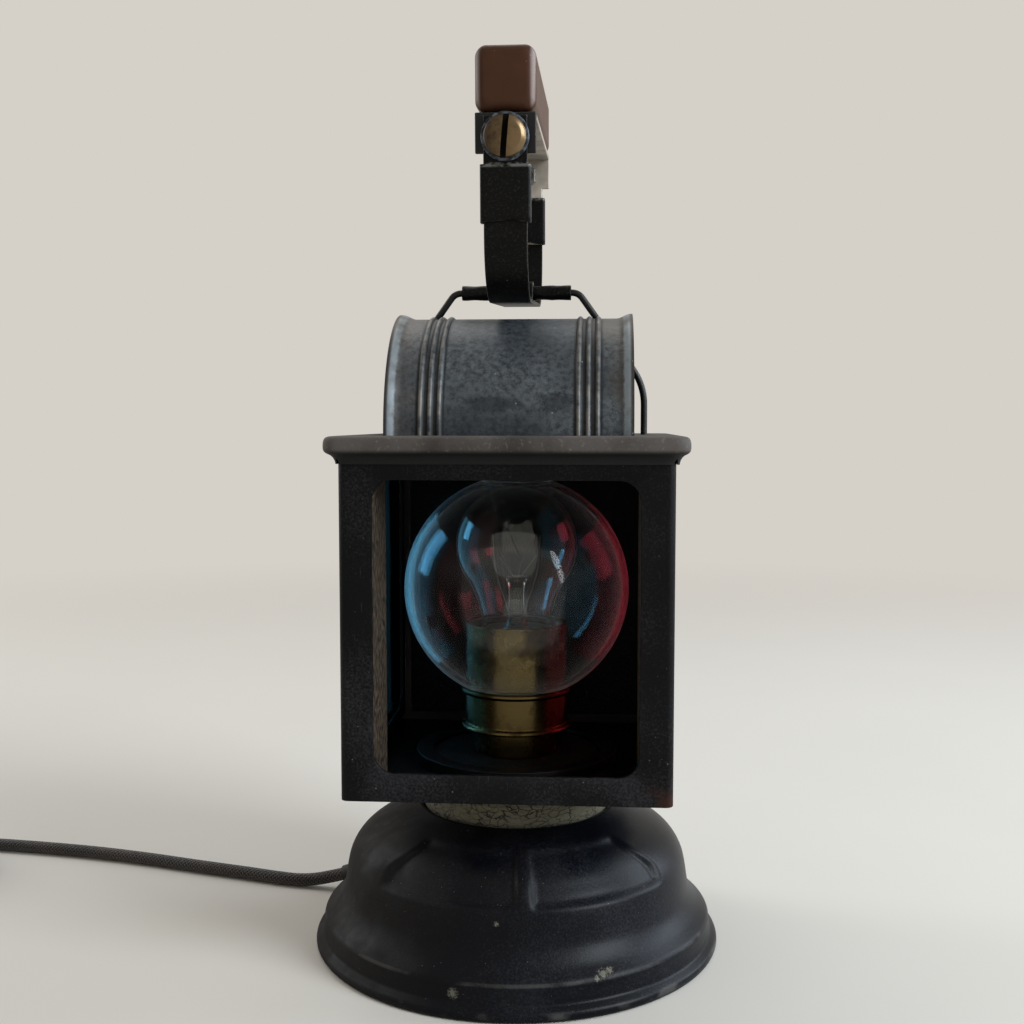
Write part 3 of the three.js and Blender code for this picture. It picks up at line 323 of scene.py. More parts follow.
def swept(name, line, radius, sides, finish):
    """A round bar along a line, closed at both ends."""
    points, loops = [], []
    side = (line[1] - line[0]).orthogonal().normalized()
    walked = [0]
    for before, after in zip(line, line[1:]):
        walked.append(walked[-1] + (after - before).length)
    for i, spot in enumerate(line):
        heading = (line[min(i + 1, len(line) - 1)] - line[max(i - 1, 0)]).normalized()
        side = (side - heading * side.dot(heading)).normalized()
        up = heading.cross(side)
        for k in range(sides):
            turn = 2 * math.pi * k / sides
            points.append(spot + (side * math.cos(turn) + up * math.sin(turn)) * radius)
    for here, there in zip(walked, walked[1:]):
        for k in range(sides):
            left, right = k / sides, (k + 1) / sides
            loops += [(left, here), (right, here), (right, there), (left, there)]
    loops += [(0, 0)] * (2 * sides)
    return made(name, points, ring_faces(len(line), sides), finish, loops)


def fit(piece, body, slot, *nodes):
    """The piece moves with a body and stands for nodes of the frame, which are hidden. The slot is not
    used.
    """
    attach(piece, body)
    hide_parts(*nodes)
    return piece


cord_radius = 2.5 * mm
cord_length = 1.8
cord_floor = cord_radius + 0.1 * mm
touch = 0.3 * mm
exit_turn, exit_reach = math.radians(152), 69.3
exit_point = Vector((exit_reach * math.cos(exit_turn), exit_reach * math.sin(exit_turn), 10)) * mm
exit_heading, exit_slope = math.radians(168), math.radians(18)
exit_way = Vector((
    math.cos(exit_heading) * math.cos(exit_slope), math.sin(exit_heading) * math.cos(exit_slope),
    -math.sin(exit_slope)))
boot_outside = 11 * mm
coil_x = -270 * mm
coil_entry = Vector((coil_x + 2 * cord_radius, 71.5 * mm, cord_floor))
free_points = [
    (-77, 35.8, 4.9), (-84, 36.7, 3.2), (-91, 37.3, 2.6), (-101, 39.4, 2.6), (-113, 43, 2.6),
    (-136, 49.4, 2.6), (-160, 56.4, 2.6), (-184.5, 62.3, 2.6), (-208.5, 66.4, 2.6),
    (-232, 69.3, 2.6), (-250, 71, 2.6),
]
cord_exit = exit_point + exit_way * (boot_outside + touch)
free_route = [
    cord_exit, *(Vector(point) * mm for point in free_points),
    coil_entry + Vector((2 * cord_radius + touch, 0, 0)), coil_entry + Vector((touch, 0, 0))]
free_line = smooth_line(free_route, 12)
free_length = sum((q - p).length for p, q in zip(free_line, free_line[1:]))

tail_run = 34 * mm
coil_layers = 4
coil_turns = 9.25
coil_pitch = 5.6 * mm
coil_length = cord_length - free_length - tail_run - 4 * cord_radius
layer_turns = coil_turns / coil_layers
coil_mean = coil_length / (2 * math.pi * coil_turns)
coil_outer = coil_mean + layer_turns * coil_pitch / 2
coil_inner = coil_mean - layer_turns * coil_pitch / 2
coil_y = coil_entry.y - coil_outer


def coil_spot(turns):
    """A point of the coil: each layer spirals in or out, and the cord climbs where that reverses."""
    layer = min(int(turns / layer_turns), coil_layers - 1)
    along = (turns - layer * layer_turns) * coil_pitch
    radius = coil_inner + along if layer % 2 else coil_outer - along
    climbs = sum(min(max(2 * (turns - k * layer_turns) + 0.5, 0), 1) for k in range(1, coil_layers))
    turn = (0.25 + turns) * 2 * math.pi
    return Vector((coil_x + radius * math.cos(turn), coil_y + radius * math.sin(turn),
                   cord_floor + coil_pitch * climbs))


turn_steps = 48
coil_steps = round(turn_steps * coil_turns)
coil_line = [coil_spot(coil_turns * i / coil_steps) for i in range(coil_steps + 1)]
plug_radius = 13 * mm
plug_low, plug_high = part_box("plug_body")
plug_z = (plug_low.z + plug_high.z) / 2
tail_top = coil_line[-1] - Vector((0, 2 * cord_radius, 0))
tail_shares = [(0, 0), (0.15, 0.01), (0.35, 0.2), (0.65, 0.8), (0.85, 0.99), (1, 1)]
tail_route = [tail_top + Vector((0, -along * tail_run, down * (plug_z - tail_top.z)))
              for along, down in tail_shares]
cord_line = [*free_line, *coil_line, *smooth_line(tail_route, 4)]

braid = Finish("textile_braid")
braid_place = braid.node("ShaderNodeSeparateXYZ", None, [
    braid.node("ShaderNodeUVMap", {"uv_map": "along"})])
braid_round, braid_along = braid_place.part("X"), braid_place.part("Y")
strand_count = 8
strand_pitch = 7 * mm
strand_slant = strand_count / strand_pitch / 2
one_way = (braid_round * strand_count + braid_along * strand_slant) * (2 * math.pi)
other_way = (braid_round * strand_count - braid_along * strand_slant) * (2 * math.pi)
strands = one_way.math("SINE").math("MAXIMUM", other_way.math("SINE"))
yarn = braid.noise(900, 3)
fleck = braid.noise(60, 4)
# Painted shade: the braid's colour darkens in the gaps between the strands.
braid.surface(
    Base_Color=braid.mix(
        braid.rise(strands * 0.6 + yarn * 0.5, 0.1, 1.0),
        (16, 11, 9), braid.mix(braid.rise(fleck, 0.4, 0.7), (44, 31, 25), (66, 50, 40))),
    Roughness=0.85, Sheen_Weight=0.3,
    Normal=braid.bump(strands + yarn * 0.5, 0.25 * mm))
cord = swept("mains_cord", cord_line, cord_radius * 0.99, 14, braid)
fit(cord, "base", "textile", "flex_cord", "cord_coil", "cord_tail")


# Plug: a round two-pin plug of dark brown moulded resin with finger grooves and turned brass pins. It
# lies on the floor beside the coil, on the cord's end.
def corner_arc(start, corner, end, steps):
    """The points of a soft corner between two spots."""
    shares = [k / steps for k in range(steps + 1)]
    return [start * (1 - t) ** 2 + corner * (2 * t * (1 - t)) + end * t ** 2 for t in shares]


def eased(points, radius, closed=False, steps=4):
    """The same outline with each corner rounded, by less where its sides are short."""
    spots = [Vector(point) for point in points]
    count = len(spots)
    line = []
    for i, spot in enumerate(spots):
        before, after = spots[i - 1] - spot, spots[(i + 1) % count] - spot
        straight = before.normalized().dot(after.normalized()) < -0.97
        if straight or not closed and i in (0, count - 1):
            line.append(spot)
            continue
        reach = min(radius, before.length * 0.45, after.length * 0.45)
        line += corner_arc(
            spot + before.normalized() * reach, spot, spot + after.normalized() * reach, steps)
    return line


def outline_of(points, ease, closed=True):
    """An outline in metres from points in millimetres, with its corners rounded."""
    return [point * mm for point in eased(points, ease, closed)]


def outward(piece, merge=0):
    """Turns a piece's faces outwards, after points that fall together are merged."""
    shell = bmesh.new()
    shell.from_mesh(piece.data)
    if merge:
        bmesh.ops.remove_doubles(shell, verts=shell.verts, dist=merge)
        bmesh.ops.dissolve_degenerate(shell, edges=shell.edges, dist=merge)
    bmesh.ops.recalc_face_normals(shell, faces=shell.faces)
    shell.to_mesh(piece.data)
    shell.free()
    return piece


axis_turns = {
    "Z": Matrix.Identity(3),
    "X": Matrix.Rotation(math.pi / 2, 3, "Y"),
    "Y": Matrix.Rotation(-math.pi / 2, 3, "X"),
}


def turned(name, outline, columns, finish, axis="Z", centre=(0, 0, 0), press=None):
    """A turned piece from an outline of radius and height. Off the axis, the outline is a loop."""
    loop = outline[0][0] > 0
    rows = len(outline)
    points = []
    for column in range(columns):
        turn = 2 * math.pi * column / columns
        for row, (radius, height) in enumerate(outline):
            if press:
                radius, height = press(turn, radius, height)
            points.append(Vector((radius * math.sin(turn), -radius * math.cos(turn), height)))
    faces = []
    for column in range(columns):
        here, there = column * rows, (column + 1) % columns * rows
        for row in range(rows if loop else rows - 1):
            above = (row + 1) % rows
            faces.append((here + row, there + row, there + above, here + above))
    turn, offset = axis_turns[axis], Vector(centre)
    piece = made(name, [turn @ point + offset for point in points], faces, finish)
    return shaded(outward(piece, 0.001 * mm))


def rod(radius, low, high, sides, finish, axis="Z", centre=(0, 0, 0)):
    """A solid rod along an axis, to cut a hole with."""
    return turned("rod", [(0, low), (radius, low), (radius, high), (0, high)], sides, finish, axis, centre)


plug_length = 38 * mm
plug_grooves = 20
plug_finish = Finish("plug_resin")
plug_cloud = plug_finish.noise(60, 5)
plug_finish.surface(
    Base_Color=plug_finish.mix(plug_cloud, (34, 22, 18), (58, 38, 30)),
    Roughness=plug_cloud * 0.2 + 0.22, Normal=plug_finish.grain(1500, 0.02 * mm))


def plug_press(turn, radius, height):
    """Finger grooves round the plug's wide part."""
    wide = min(max((radius - 0.7 * plug_radius) / (0.2 * plug_radius), 0), 1)
    waist = max(0, 1 - abs(height - 0.74 * plug_length) / (0.18 * plug_length))
    return radius - 0.7 * mm * wide * waist * (0.5 + 0.5 * math.cos(plug_grooves * turn)), height


plug_shares = [(0, 0), (0.3, 0), (0.34, 0.04), (0.36, 0.14), (0.42, 0.32), (0.88, 0.46), (1, 0.54),
               (1, 0.62), (1, 0.7), (1, 0.78), (1, 0.86), (1, 0.94), (0.92, 1), (0, 1)]
plug_back = Vector((tail_top.x, tail_route[-1].y - touch, plug_z))
plug_line = eased([(r * plug_radius * 0.995, y * plug_length) for r, y in plug_shares], 1.2 * mm)
plug = turned("plug", plug_line, 80, plug_finish, "Y", press=plug_press)
plug.data.transform(Matrix.Translation(plug_back) @ Matrix.Rotation(math.pi, 4, "Z"))
fit(plug, "base", "plug_moulding", "plug_body")

brass = Finish("aged_brass")
brass_cloud = brass.noise(45, 5)
brass_grain = brass.noise(500, 2, (0.15, 0.15, 3))
brass_dirt = brass.rise(brass_cloud * 0.75 + brass.noise(220, 3) * 0.35, 0.56, 0.72)
brass.surface(
    Base_Color=brass.mix(brass_dirt, brass.mix(brass_cloud, (72, 62, 40), (110, 94, 62)),
                         (50, 38, 26)),
    Metallic=1.0, Roughness=brass_cloud * 0.12 + brass_dirt * 0.22 + 0.2,
    Normal=brass.bump(brass_grain + brass_dirt * 0.2, 0.012 * mm))
for pin_side in ("left", "right"):
    pin_low, pin_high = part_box(f"plug_pin_{pin_side}")
    pin_radius = (pin_high.x - pin_low.x) / 2
    pin_run = pin_high.y - pin_low.y
    pin_middle = (pin_low + pin_high) / 2
    pin_line = eased(
        [(0, 0), (pin_radius, 0), (pin_radius, 0.9 * pin_run), (0.6 * pin_radius, pin_run), (0, pin_run)],
        0.5 * mm)
    pin = turned(f"plug_pin_{pin_side}_fine", pin_line, 24, brass, "Y")
    pin.data.transform(Matrix.Translation((pin_middle.x, pin_high.y, pin_middle.z))
                       @ Matrix.Rotation(math.pi, 4, "Z"))
    fit(pin, "base", "brass", f"plug_pin_{pin_side}")

# Boot: a tapered strain relief of black rubber with grip rings. It goes through the base's rim, and a
# bead inside keeps it from being pulled out.
rubber = Finish("boot_rubber")
rubber.surface(
    Base_Color=rubber.mix(rubber.noise(80, 4), (22, 20, 18), (44, 40, 36)),
    Roughness=0.75, Normal=rubber.grain(1200, 0.03 * mm))
boot_bore = (cord_radius + touch) / mm
boot_line = outline_of([
    (boot_bore, -12.5), (4.6, -12.5), (4.6, -9.5), (4, -9.5), (4, 0.4), (4, 1.6), (3.75, 2.2),
    (3.85, 3.6), (3.6, 4.2), (3.7, 5.6), (3.45, 6.2), (3.5, 7.6), (3.3, 8.2), (3.3, 9.6), (3.2, 11),
    (boot_bore, 11)], 0.4)
boot = turned("cord_boot", boot_line, 40, rubber)
boot.data.transform(Matrix.Translation(exit_point)
                    @ exit_way.to_track_quat("Z", "Y").to_matrix().to_4x4())
fit(boot, "base", "rubber", "cord_grommet")


def dress(finish, *nodes):
    """Gives pieces of the frame whose shape is right their finish."""
    for name in nodes:
        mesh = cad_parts[name].data
        mesh.materials.clear()
        mesh.materials.append(finish.material)


inner_cloth = Finish("inner_lead_cloth")
inner_cloth.surface(
    Base_Color=inner_cloth.mix(inner_cloth.noise(700), (30, 22, 18), (60, 46, 38)), Roughness=0.9,
    Normal=inner_cloth.grain(900, 0.1 * mm))
dress(inner_cloth, "inner_lead")

# Base: the former oil reservoir, pressed from sheet with a beaded rim, a stepped skirt and a domed
# shoulder. A shallow panel lies on each side of a narrow rib, at the front and at the back.
base_outline = [
    (71.4, 0), (72.6, 0.5), (73.0, 1.7), (72.7, 3.0), (71.6, 4.0), (70.6, 4.9), (70.3, 6.6), (70.0, 8.8),
    (69.9, 10.3), (69.3, 11.5), (67.9, 12.8), (66.0, 14.6), (64.2, 17.0), (62.9, 19.6), (62.2, 22.6),
    (61.7, 26.0), (61.1, 29.4), (60.5, 31.8), (59.6, 34.0), (58.2, 36.4), (56.0, 39.0), (52.6, 41.7),
    (48.6, 43.9), (45.0, 45.4), (41.2, 47.0), (38.2, 48.3), (36.4, 49.3), (35.2, 50.0), (34.2, 49.6),
    (33.8, 48.8), (33.8, 46.9)]
base_inner = [
    (37.5, 46.9), (38.2, 46.6), (44.4, 43.7), (51.6, 40.2), (56.4, 35.7), (58.7, 31.0), (60.3, 22.0),
    (62.5, 16.0), (66.5, 11.8), (68.2, 8.5), (69.0, 3.0), (67.4, 1.8), (69.7, 1.8), (69.7, 0)]
rib_turn = math.radians(6.5)
rib_half = 3.0
panel_end = 50.5
panel_foot, panel_head = 30.8, 46.4
panel_depth = 2.7 * mm
lip_radius = 37 * mm


def step_up(value, low, high):
    """0 below low, 1 above high, smooth between."""
    share = min(max((value - low) / (high - low), 0), 1)
    return share * share * (3 - 2 * share)


def base_press(turn, radius, height):
    """Presses the panels in, below the lip and above the skirt."""
    z = height / mm
    off = math.degrees((turn - rib_turn + math.pi / 2) % math.pi - math.pi / 2)
    end = panel_end - 6 * step_up(z, 36, 45)
    across = step_up(abs(off), rib_half - 1.8, rib_half + 1.2) * step_up(end - abs(off), -2.6, 1.8)
    up = step_up(z, panel_foot, panel_foot + 2.8) * step_up(panel_head - z, 0, 2.8)
    dish = 0.75 + 0.25 * step_up(z, 33, 37)
    return radius - panel_depth * across * up * dish * (1 if radius > lip_radius else 0), height


paint = Finish("reservoir_paint")
height_in = paint.axis("Z")
across_in = paint.axis("X")
cloud = paint.noise(28, 6)
grain = paint.noise(1400, 3)
dust = paint.rise(
    cloud * 0.55 + across_in * -3.2 + paint.noise(160, 4) * 0.22 + height_in * 1.5, 0.34, 0.72)
# For each chip its turn in degrees from the front, its height, its distance from the middle and its size.
chip_facts = [
    (-12.8, 7.6, 69.9, 1.6), (25.6, 11.2, 69.2, 1.0), (27.6, 12.0, 68.6, 1.5), (29.8, 12.4, 68.2, 1.2),
    (-2.2, 27.5, 61.2, 0.8), (149, 12.0, 68.6, 1.4), (201, 24.0, 61.8, 1.0), (-118, 9.0, 69.8, 1.3)]
chips = 0
ragged = paint.noise(1500, 5)
for chip_turn, chip_z, chip_r, chip_size in chip_facts:
    chip_place = Vector((chip_r * math.sin(math.radians(chip_turn)),
                         -chip_r * math.cos(math.radians(chip_turn)), chip_z)) * mm
    edge = paint.away(chip_place) / (chip_size * mm) + (ragged - 0.5) * 2.6
    chips = paint.rise(edge, 1.3, 0.4) + chips
# Wear and painted highlight: a pale line along the skirt's ridge, and a pale band on the beaded rim that
# grows towards the right.
ridge = paint.rise(abs(height_in - 10.9 * mm), 0.75 * mm, 0.25 * mm)
ridge_wear_and_highlight = ridge * paint.rise(paint.noise(55, 5), 0.46, 0.6)
rim_wear_and_highlight = paint.rise(abs(height_in - 2.2 * mm), 1.6 * mm, 0.4 * mm) * paint.rise(
    paint.noise(70, 5) + across_in * 1.2, 0.5, 0.66)
white_specks = paint.specks(420, 0.10, 0.06).math("MAXIMUM", paint.specks(900, 0.14, 0.06))
pale = (ridge_wear_and_highlight * 0.12 + rim_wear_and_highlight * 0.16 + white_specks * 0.4).math("MINIMUM", 1.0)
dust_grain = paint.rise(grain * 0.6 + cloud * 0.5, 0.5, 0.85)
paint.surface(
    Base_Color=paint.layered(
        paint.mix(cloud, (4, 6, 10), (12, 16, 24)), (dust_grain * 0.6, (50, 52, 58)),
        (dust * 0.7, (28, 23, 18)), (pale, (140, 138, 132)),
        (chips.math("MINIMUM", 1.0), (98, 96, 86))),
    Roughness=cloud * 0.14 + dust * 0.42 + grain * 0.1 + 0.25, Specular_IOR_Level=0.13,
    Normal=paint.bump(
        chips * -1.5 + cloud * 1.2, 0.12 * mm,
        paint.bump(grain + white_specks, 0.05 * mm)))
base_line = [point * mm for point in smooth_line(base_outline, 4)]
base_line += [(r * mm, z * mm) for r, z in base_inner]
base_shell = turned("reservoir", base_line, 432, paint, press=base_press)
fit(base_shell, "base", "black_paint", "base_shell")
dress(paint, "base_bottom_plate")

# Neck collar: a flanged tube in the base's lip, in old cream paint that has dried into a net of dark
# cracks. Two lugs on its spigot lock the case on with a twist.
cream = Finish("crazed_cream")
bent = cream.node("ShaderNodeVectorMath", {"operation": "ADD"}, [
    cream.place, cream.node("ShaderNodeVectorMath", {"operation": "SCALE"}, {
        0: cream.node("ShaderNodeTexNoise", None, {
            "Vector": cream.place, "Scale": 160.0, "Detail": 3.0}, 1), "Scale": 0.006})])
crack_wide = cream.cells(260, "DISTANCE_TO_EDGE", (1, 1, 2.2), bent)
crack_fine = cream.cells(700, "DISTANCE_TO_EDGE", (1, 1, 1.6), bent)
crack_depth = cream.rise(cream.noise(120, 4), 0.3, 0.62)
cracks = (cream.rise(crack_wide, 0.08, 0.02) * crack_depth).math(
    "MAXIMUM", cream.rise(crack_fine, 0.05, 0.01) * crack_depth * 0.45)
collar_cloud = cream.noise(70, 5)
collar_cream = cream.mix(collar_cloud, (70, 67, 55), (120, 116, 98))
# The collar turns near-black above 64 mm, where it rises into the case.
collar_dark_top = cream.rise(cream.axis("Z"), 63.4 * mm, 64.0 * mm)
cream.surface(
    Base_Color=cream.mix(
        collar_dark_top, cream.mix(cracks, collar_cream, (26, 22, 18)), (9, 8, 8)),
    Roughness=0.62, Specular_IOR_Level=0.25,
    Normal=cream.bump(cracks * -1 + collar_cloud * 0.6, 0.14 * mm))
collar_outline = [
    (37.2, 44.8), (37.2, 46.3), (33.5, 46.3), (33.5, 55.0), (33.9, 55.6), (33.9, 56.8), (33.5, 57.4),
    (33.5, 63.8), (29.7, 63.8), (29.7, 68.2), (5.3, 68.2), (5.3, 66.2), (27.5, 66.2), (27.5, 61.6),
    (31.3, 61.6), (31.3, 44.8)]
collar = turned("collar", outline_of(collar_outline, 0.5), 144, cream)
fit(collar, "base", "collar_paint", "neck_collar")


def joined(name, pieces):
    """Several meshes as one piece, under the first one's materials."""
    bpy.ops.object.select_all(action="DESELECT")
    for piece in pieces:
        piece.select_set(True)
    bpy.context.view_layer.objects.active = pieces[0]
    bpy.ops.object.join()
    pieces[0].name = name
    return pieces[0]


def block(name, low, high, finish, ease=0.3 * mm):
    """A block between two corners, with its edges eased."""
    points = [(x, y, z) for x in (low[0], high[0]) for y in (low[1], high[1]) for z in (low[2], high[2])]
    faces = [(0, 1, 3, 2), (4, 6, 7, 5), (0, 4, 5, 1), (2, 3, 7, 6), (0, 2, 6, 4), (1, 5, 7, 3)]
    piece = made(name, points, faces, finish)
    if ease:
        soften(piece, ease)
    return piece


def soften(piece, width, segments=2):
    """Eases a piece's sharp edges."""
    edge = piece.modifiers.new("ease", "BEVEL")
    edge.width = width
    edge.segments = segments
    edge.limit_method = "ANGLE"
    edge.angle_limit = math.radians(35)
    edge.harden_normals = True
    return settled(piece)


def settled(piece):
    """Applies a piece's modifiers to its mesh."""
    depsgraph = bpy.context.evaluated_depsgraph_get()
    mesh = bpy.data.meshes.new_from_object(piece.evaluated_get(depsgraph))
    piece.modifiers.clear()
    old = piece.data
    piece.data = mesh
    bpy.data.meshes.remove(old)
    return piece


def cut(piece, tools):
    """Takes the tools' shapes out of a piece."""
    for tool in tools:
        away = piece.modifiers.new("cut", "BOOLEAN")
        away.operation = "DIFFERENCE"
        away.solver = "EXACT"
        away.object = tool
    settled(piece)
    for tool in tools:
        bpy.data.objects.remove(tool)
    return piece


lug_half, lug_low, lug_high = 3.4 * mm, 65.9 * mm, 67.7 * mm
for side, sign in (("left", -1), ("right", 1)):
    lug_x = sorted((sign * 29.5 * mm, sign * 32.2 * mm))
    lug = block(f"collar_lug_{side}", (lug_x[0], -lug_half, lug_low), (lug_x[1], lug_half, lug_high),
                cream)
    fit(lug, "base", "collar_paint")

# Lamp holder: a standard screw holder in aged brass, drawn down on a pedestal by a threaded nipple.
# Its sleeve screws into the cup, and a dark red ring closes the top.
holder_shapes = {
    "holder_pedestal": ([
        (13.5, 68.2), (15, 68.2), (15, 77.2), (5.3, 77.2), (5.3, 75.7), (13.5, 75.7)], 0.5),
    "holder_cup": ([
        (5.3, 77.2), (19.5, 77.2), (19.9, 77.8), (19.6, 78.6), (18.6, 79.3), (18.6, 91.5), (18.9, 91.8),
        (18.9, 92.15), (17.7, 92.2), (17.7, 79.2), (5.3, 79.2)], 0.35),
    "holder_sleeve": ([
        (17.7, 92.25), (18.55, 92.3), (18.7, 92.8), (18.5, 93.2), (18.5, 114.2), (18.7, 114.6),
        (18.6, 115.3), (18.1, 115.5), (17.7, 115.2)], 0.25),
    "screw_shell": ([(13.6, 85.2), (14.6, 85.2), (14.6, 112.2), (13.6, 112.2)], 0.3),
    "globe_seat_ring": ([
        (18.9, 89.9), (19.5, 89.9), (20.1, 90.8), (20.1, 91.6), (19.8, 91.9), (18.9, 91.9)], 0.2),
}
for node, (outline, ease) in holder_shapes.items():
    piece = turned(f"{node}_fine", outline_of(outline, ease), 128, brass)
    fit(piece, "base", "brass", node)

ring_finish = Finish("ring_resin")
ring_finish.surface(
    Base_Color=ring_finish.mix(ring_finish.noise(90, 4), (40, 12, 10), (78, 28, 22)), Roughness=0.3,
    Normal=ring_finish.grain(900, 0.03 * mm))
holder_ring = turned("holder_ring_fine", outline_of(
    [(14.9, 109.6), (17.4, 109.6), (17.4, 114.6), (16.6, 114.9), (15.4, 114.6), (14.9, 113.4)], 0.4), 96,
    ring_finish)
fit(holder_ring, "base", "dark_ring", "holder_ring")

china = Finish("glazed_china")
china.surface(
    Base_Color=china.mix(china.noise(60, 4), (206, 200, 186), (224, 219, 207)), Roughness=0.16,
    Coat_Weight=0.5, Normal=china.grain(300, 0.03 * mm))
steel = Finish("dull_steel")
steel_cloud = steel.noise(90, 5)
steel.surface(
    Base_Color=steel.mix(steel_cloud, (96, 95, 92), (150, 149, 144)), Metallic=1.0,
    Roughness=steel_cloud * 0.25 + 0.3, Normal=steel.grain(900, 0.03 * mm, 3))
dress(china, "holder_insulator")
dress(brass, "centre_contact", "bulb_contact")
dress(steel, "threaded_nipple", "nipple_nut")


# Globe: a hollow ball of clear blown glass, open at the top, which stands on a ring round the holder.
# The glass is 2 mm thick, with fire-polished mouths and slight waves.
def glass_finish(name, colour, index, shine, wave_size, waves, coat, film, rough):
    """Clear or coloured glass: blown or rolled waves, a film of dirt, and a painted rim along its outline.
    """
    glass = Finish(name)
    glass.surface(
        Base_Color=colour, Roughness=rough, IOR=index, Transmission_Weight=1.0,
        Specular_Tint=(shine, shine, shine, 1), Normal=glass.bump(glass.noise(wave_size, 1), waves))
    outline = glass.node("ShaderNodeLayerWeight", None, {"Blend": 0.5}, "Facing")
    dust_coat = glass.node("ShaderNodeBsdfDiffuse", None, {"Color": coat})
    # Painted highlight and shade: the outline term thickens the coat steeply towards the outline, a pale
    # rim on clear glass and a dark one on the signal panes.
    dust_and_painted_rim = glass.rise(glass.noise(40, 5), 0.4, 0.75) * (1.5 * film) + outline ** 5.0 * (65 * film)
    glass.cover(dust_and_painted_rim, dust_coat)
    return glass


def ball_arc(radius, centre_z, first, last, steps):
    """Points on a ball's outline from one angle to another, counted from its bottom."""
    return [(radius * math.sin(first + (last - first) * i / steps),
             centre_z - radius * math.cos(first + (last - first) * i / steps)) for i in range(steps + 1)]


pale_dust = tone(232, 235, 235)
clear = glass_finish(
    "clear_glass", (0.97, 0.99, 0.98, 1), index=1.3, shine=0.6, wave_size=45, waves=0.03 * mm,
    coat=pale_dust, film=0.014, rough=0.018)
globe_radius = 40.5
globe_inner = 38.4
globe_z = 127.86
bottom_mouth, top_mouth = 19.2, 12.0
outer_arc = ball_arc(globe_radius, globe_z, math.asin(bottom_mouth / globe_radius),
                     math.pi - math.asin(top_mouth / globe_radius), 72)
inner_arc = ball_arc(globe_inner, globe_z, math.asin(bottom_mouth / globe_inner),
                     math.pi - math.asin(top_mouth / globe_inner), 72)
globe = turned("globe", outline_of([*outer_arc, *inner_arc[::-1]], 0.9), 160, clear)
fit(globe, "base", "clear_glass", "glass_globe")

# Bulb: a clear round bulb with a screw cap. A flared glass stem holds the lead wires, and hooks carry
# the filament round its button.
bulb_glass = glass_finish(
    "bulb_glass", (0.96, 0.95, 0.93, 1), index=1.4, shine=0.8, wave_size=60, waves=0.006 * mm,
    coat=pale_dust, film=0.004, rough=0.008)
bulb_low, bulb_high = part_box("bulb_envelope")
cap_low, cap_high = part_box("bulb_cap")
bulb_radius = 21.8
bulb_wall = 0.7
bulb_centre = bulb_high.z / mm - bulb_radius
bulb_foot = bulb_low.z / mm
bulb_outer = [(12.2, bulb_foot), (12.3, bulb_foot + 3), (13.1, bulb_foot + 7.6), (14.9, bulb_foot + 13.2)]
bulb_outer += ball_arc(bulb_radius, bulb_centre, math.radians(52), math.pi, 30)
bulb_skin = [Vector((max(r, 0) * mm, z * mm)) for r, z in smooth_line(bulb_outer, 2)]
bulb_skin[-1].x = 0
bulb_inside = []
for i, spot in enumerate(bulb_skin):
    run = (bulb_skin[min(i + 1, len(bulb_skin) - 1)] - bulb_skin[max(i - 1, 0)]).normalized()
    bulb_inside.append(Vector((max(spot.x - bulb_wall * mm * run.y, 0), spot.y + bulb_wall * mm * run.x)))
bulb_inside[-1] = Vector((0, bulb_skin[-1].y - bulb_wall * mm))
bulb = turned("bulb", [*bulb_inside[::-1], *bulb_skin], 128, bulb_glass)
fit(bulb, "bulb", "clear_glass", "bulb_envelope")

stem_low, stem_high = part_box("bulb_stem")
stem_run = stem_high.z - stem_low.z
stem_radius = stem_high.x
stem_shares = [(0, 0), (0.38, 0), (0.8, 0.05), (1, 0.12), (0.98, 0.4), (0.5, 0.56), (0.34, 0.64),
               (0.3, 0.9), (0.36, 0.94), (0.42, 0.97), (0.3, 1), (0, 1)]
stem_line = [(max(r, 0) * stem_radius, min(stem_low.z + z * stem_run, stem_high.z))
             for r, z in smooth_line(stem_shares, 5)]
stem = turned("bulb_mount", stem_line, 48, bulb_glass)
fit(stem, "bulb", "clear_glass", "bulb_stem")


def node_group(name, sizes):
    """A geometry tree with named inputs for its sizes: the tree, the inputs and their identifiers."""
    group = bpy.data.node_groups.new(name, "GeometryNodeTree")
    group.interface.new_socket(name="Geometry", in_out="OUTPUT", socket_type="NodeSocketGeometry")
    keys = {}
    for size in sizes:
        item = group.interface.new_socket(name=size, in_out="INPUT", socket_type="NodeSocketFloat")
        keys[size] = item.identifier
    tree = Tree(group)
    source = group.nodes.new("NodeGroupInput")
    return tree, {size: Socket(tree, source.outputs[size]) for size in sizes}, keys


def grown(name, tree, keys, sizes, geometry, finish):
    """Ends a tree, gives it its sizes, and turns its result into a plain mesh."""
    real = tree.node("GeometryNodeRealizeInstances", None, [geometry])
    coated = tree.node("GeometryNodeSetMaterial", None, {"Geometry": real, "Material": finish.material})
    tree.tree.links.new(coated.output, tree.tree.nodes.new("NodeGroupOutput").inputs[0])
    piece = bpy.data.objects.new(name, bpy.data.meshes.new(name))
    scene.collection.objects.link(piece)
    growth = piece.modifiers.new("growth", "NODES")
    growth.node_group = tree.tree
    for size, value in sizes.items():
        growth[keys[size]] = value
    return shaded(settled(piece))


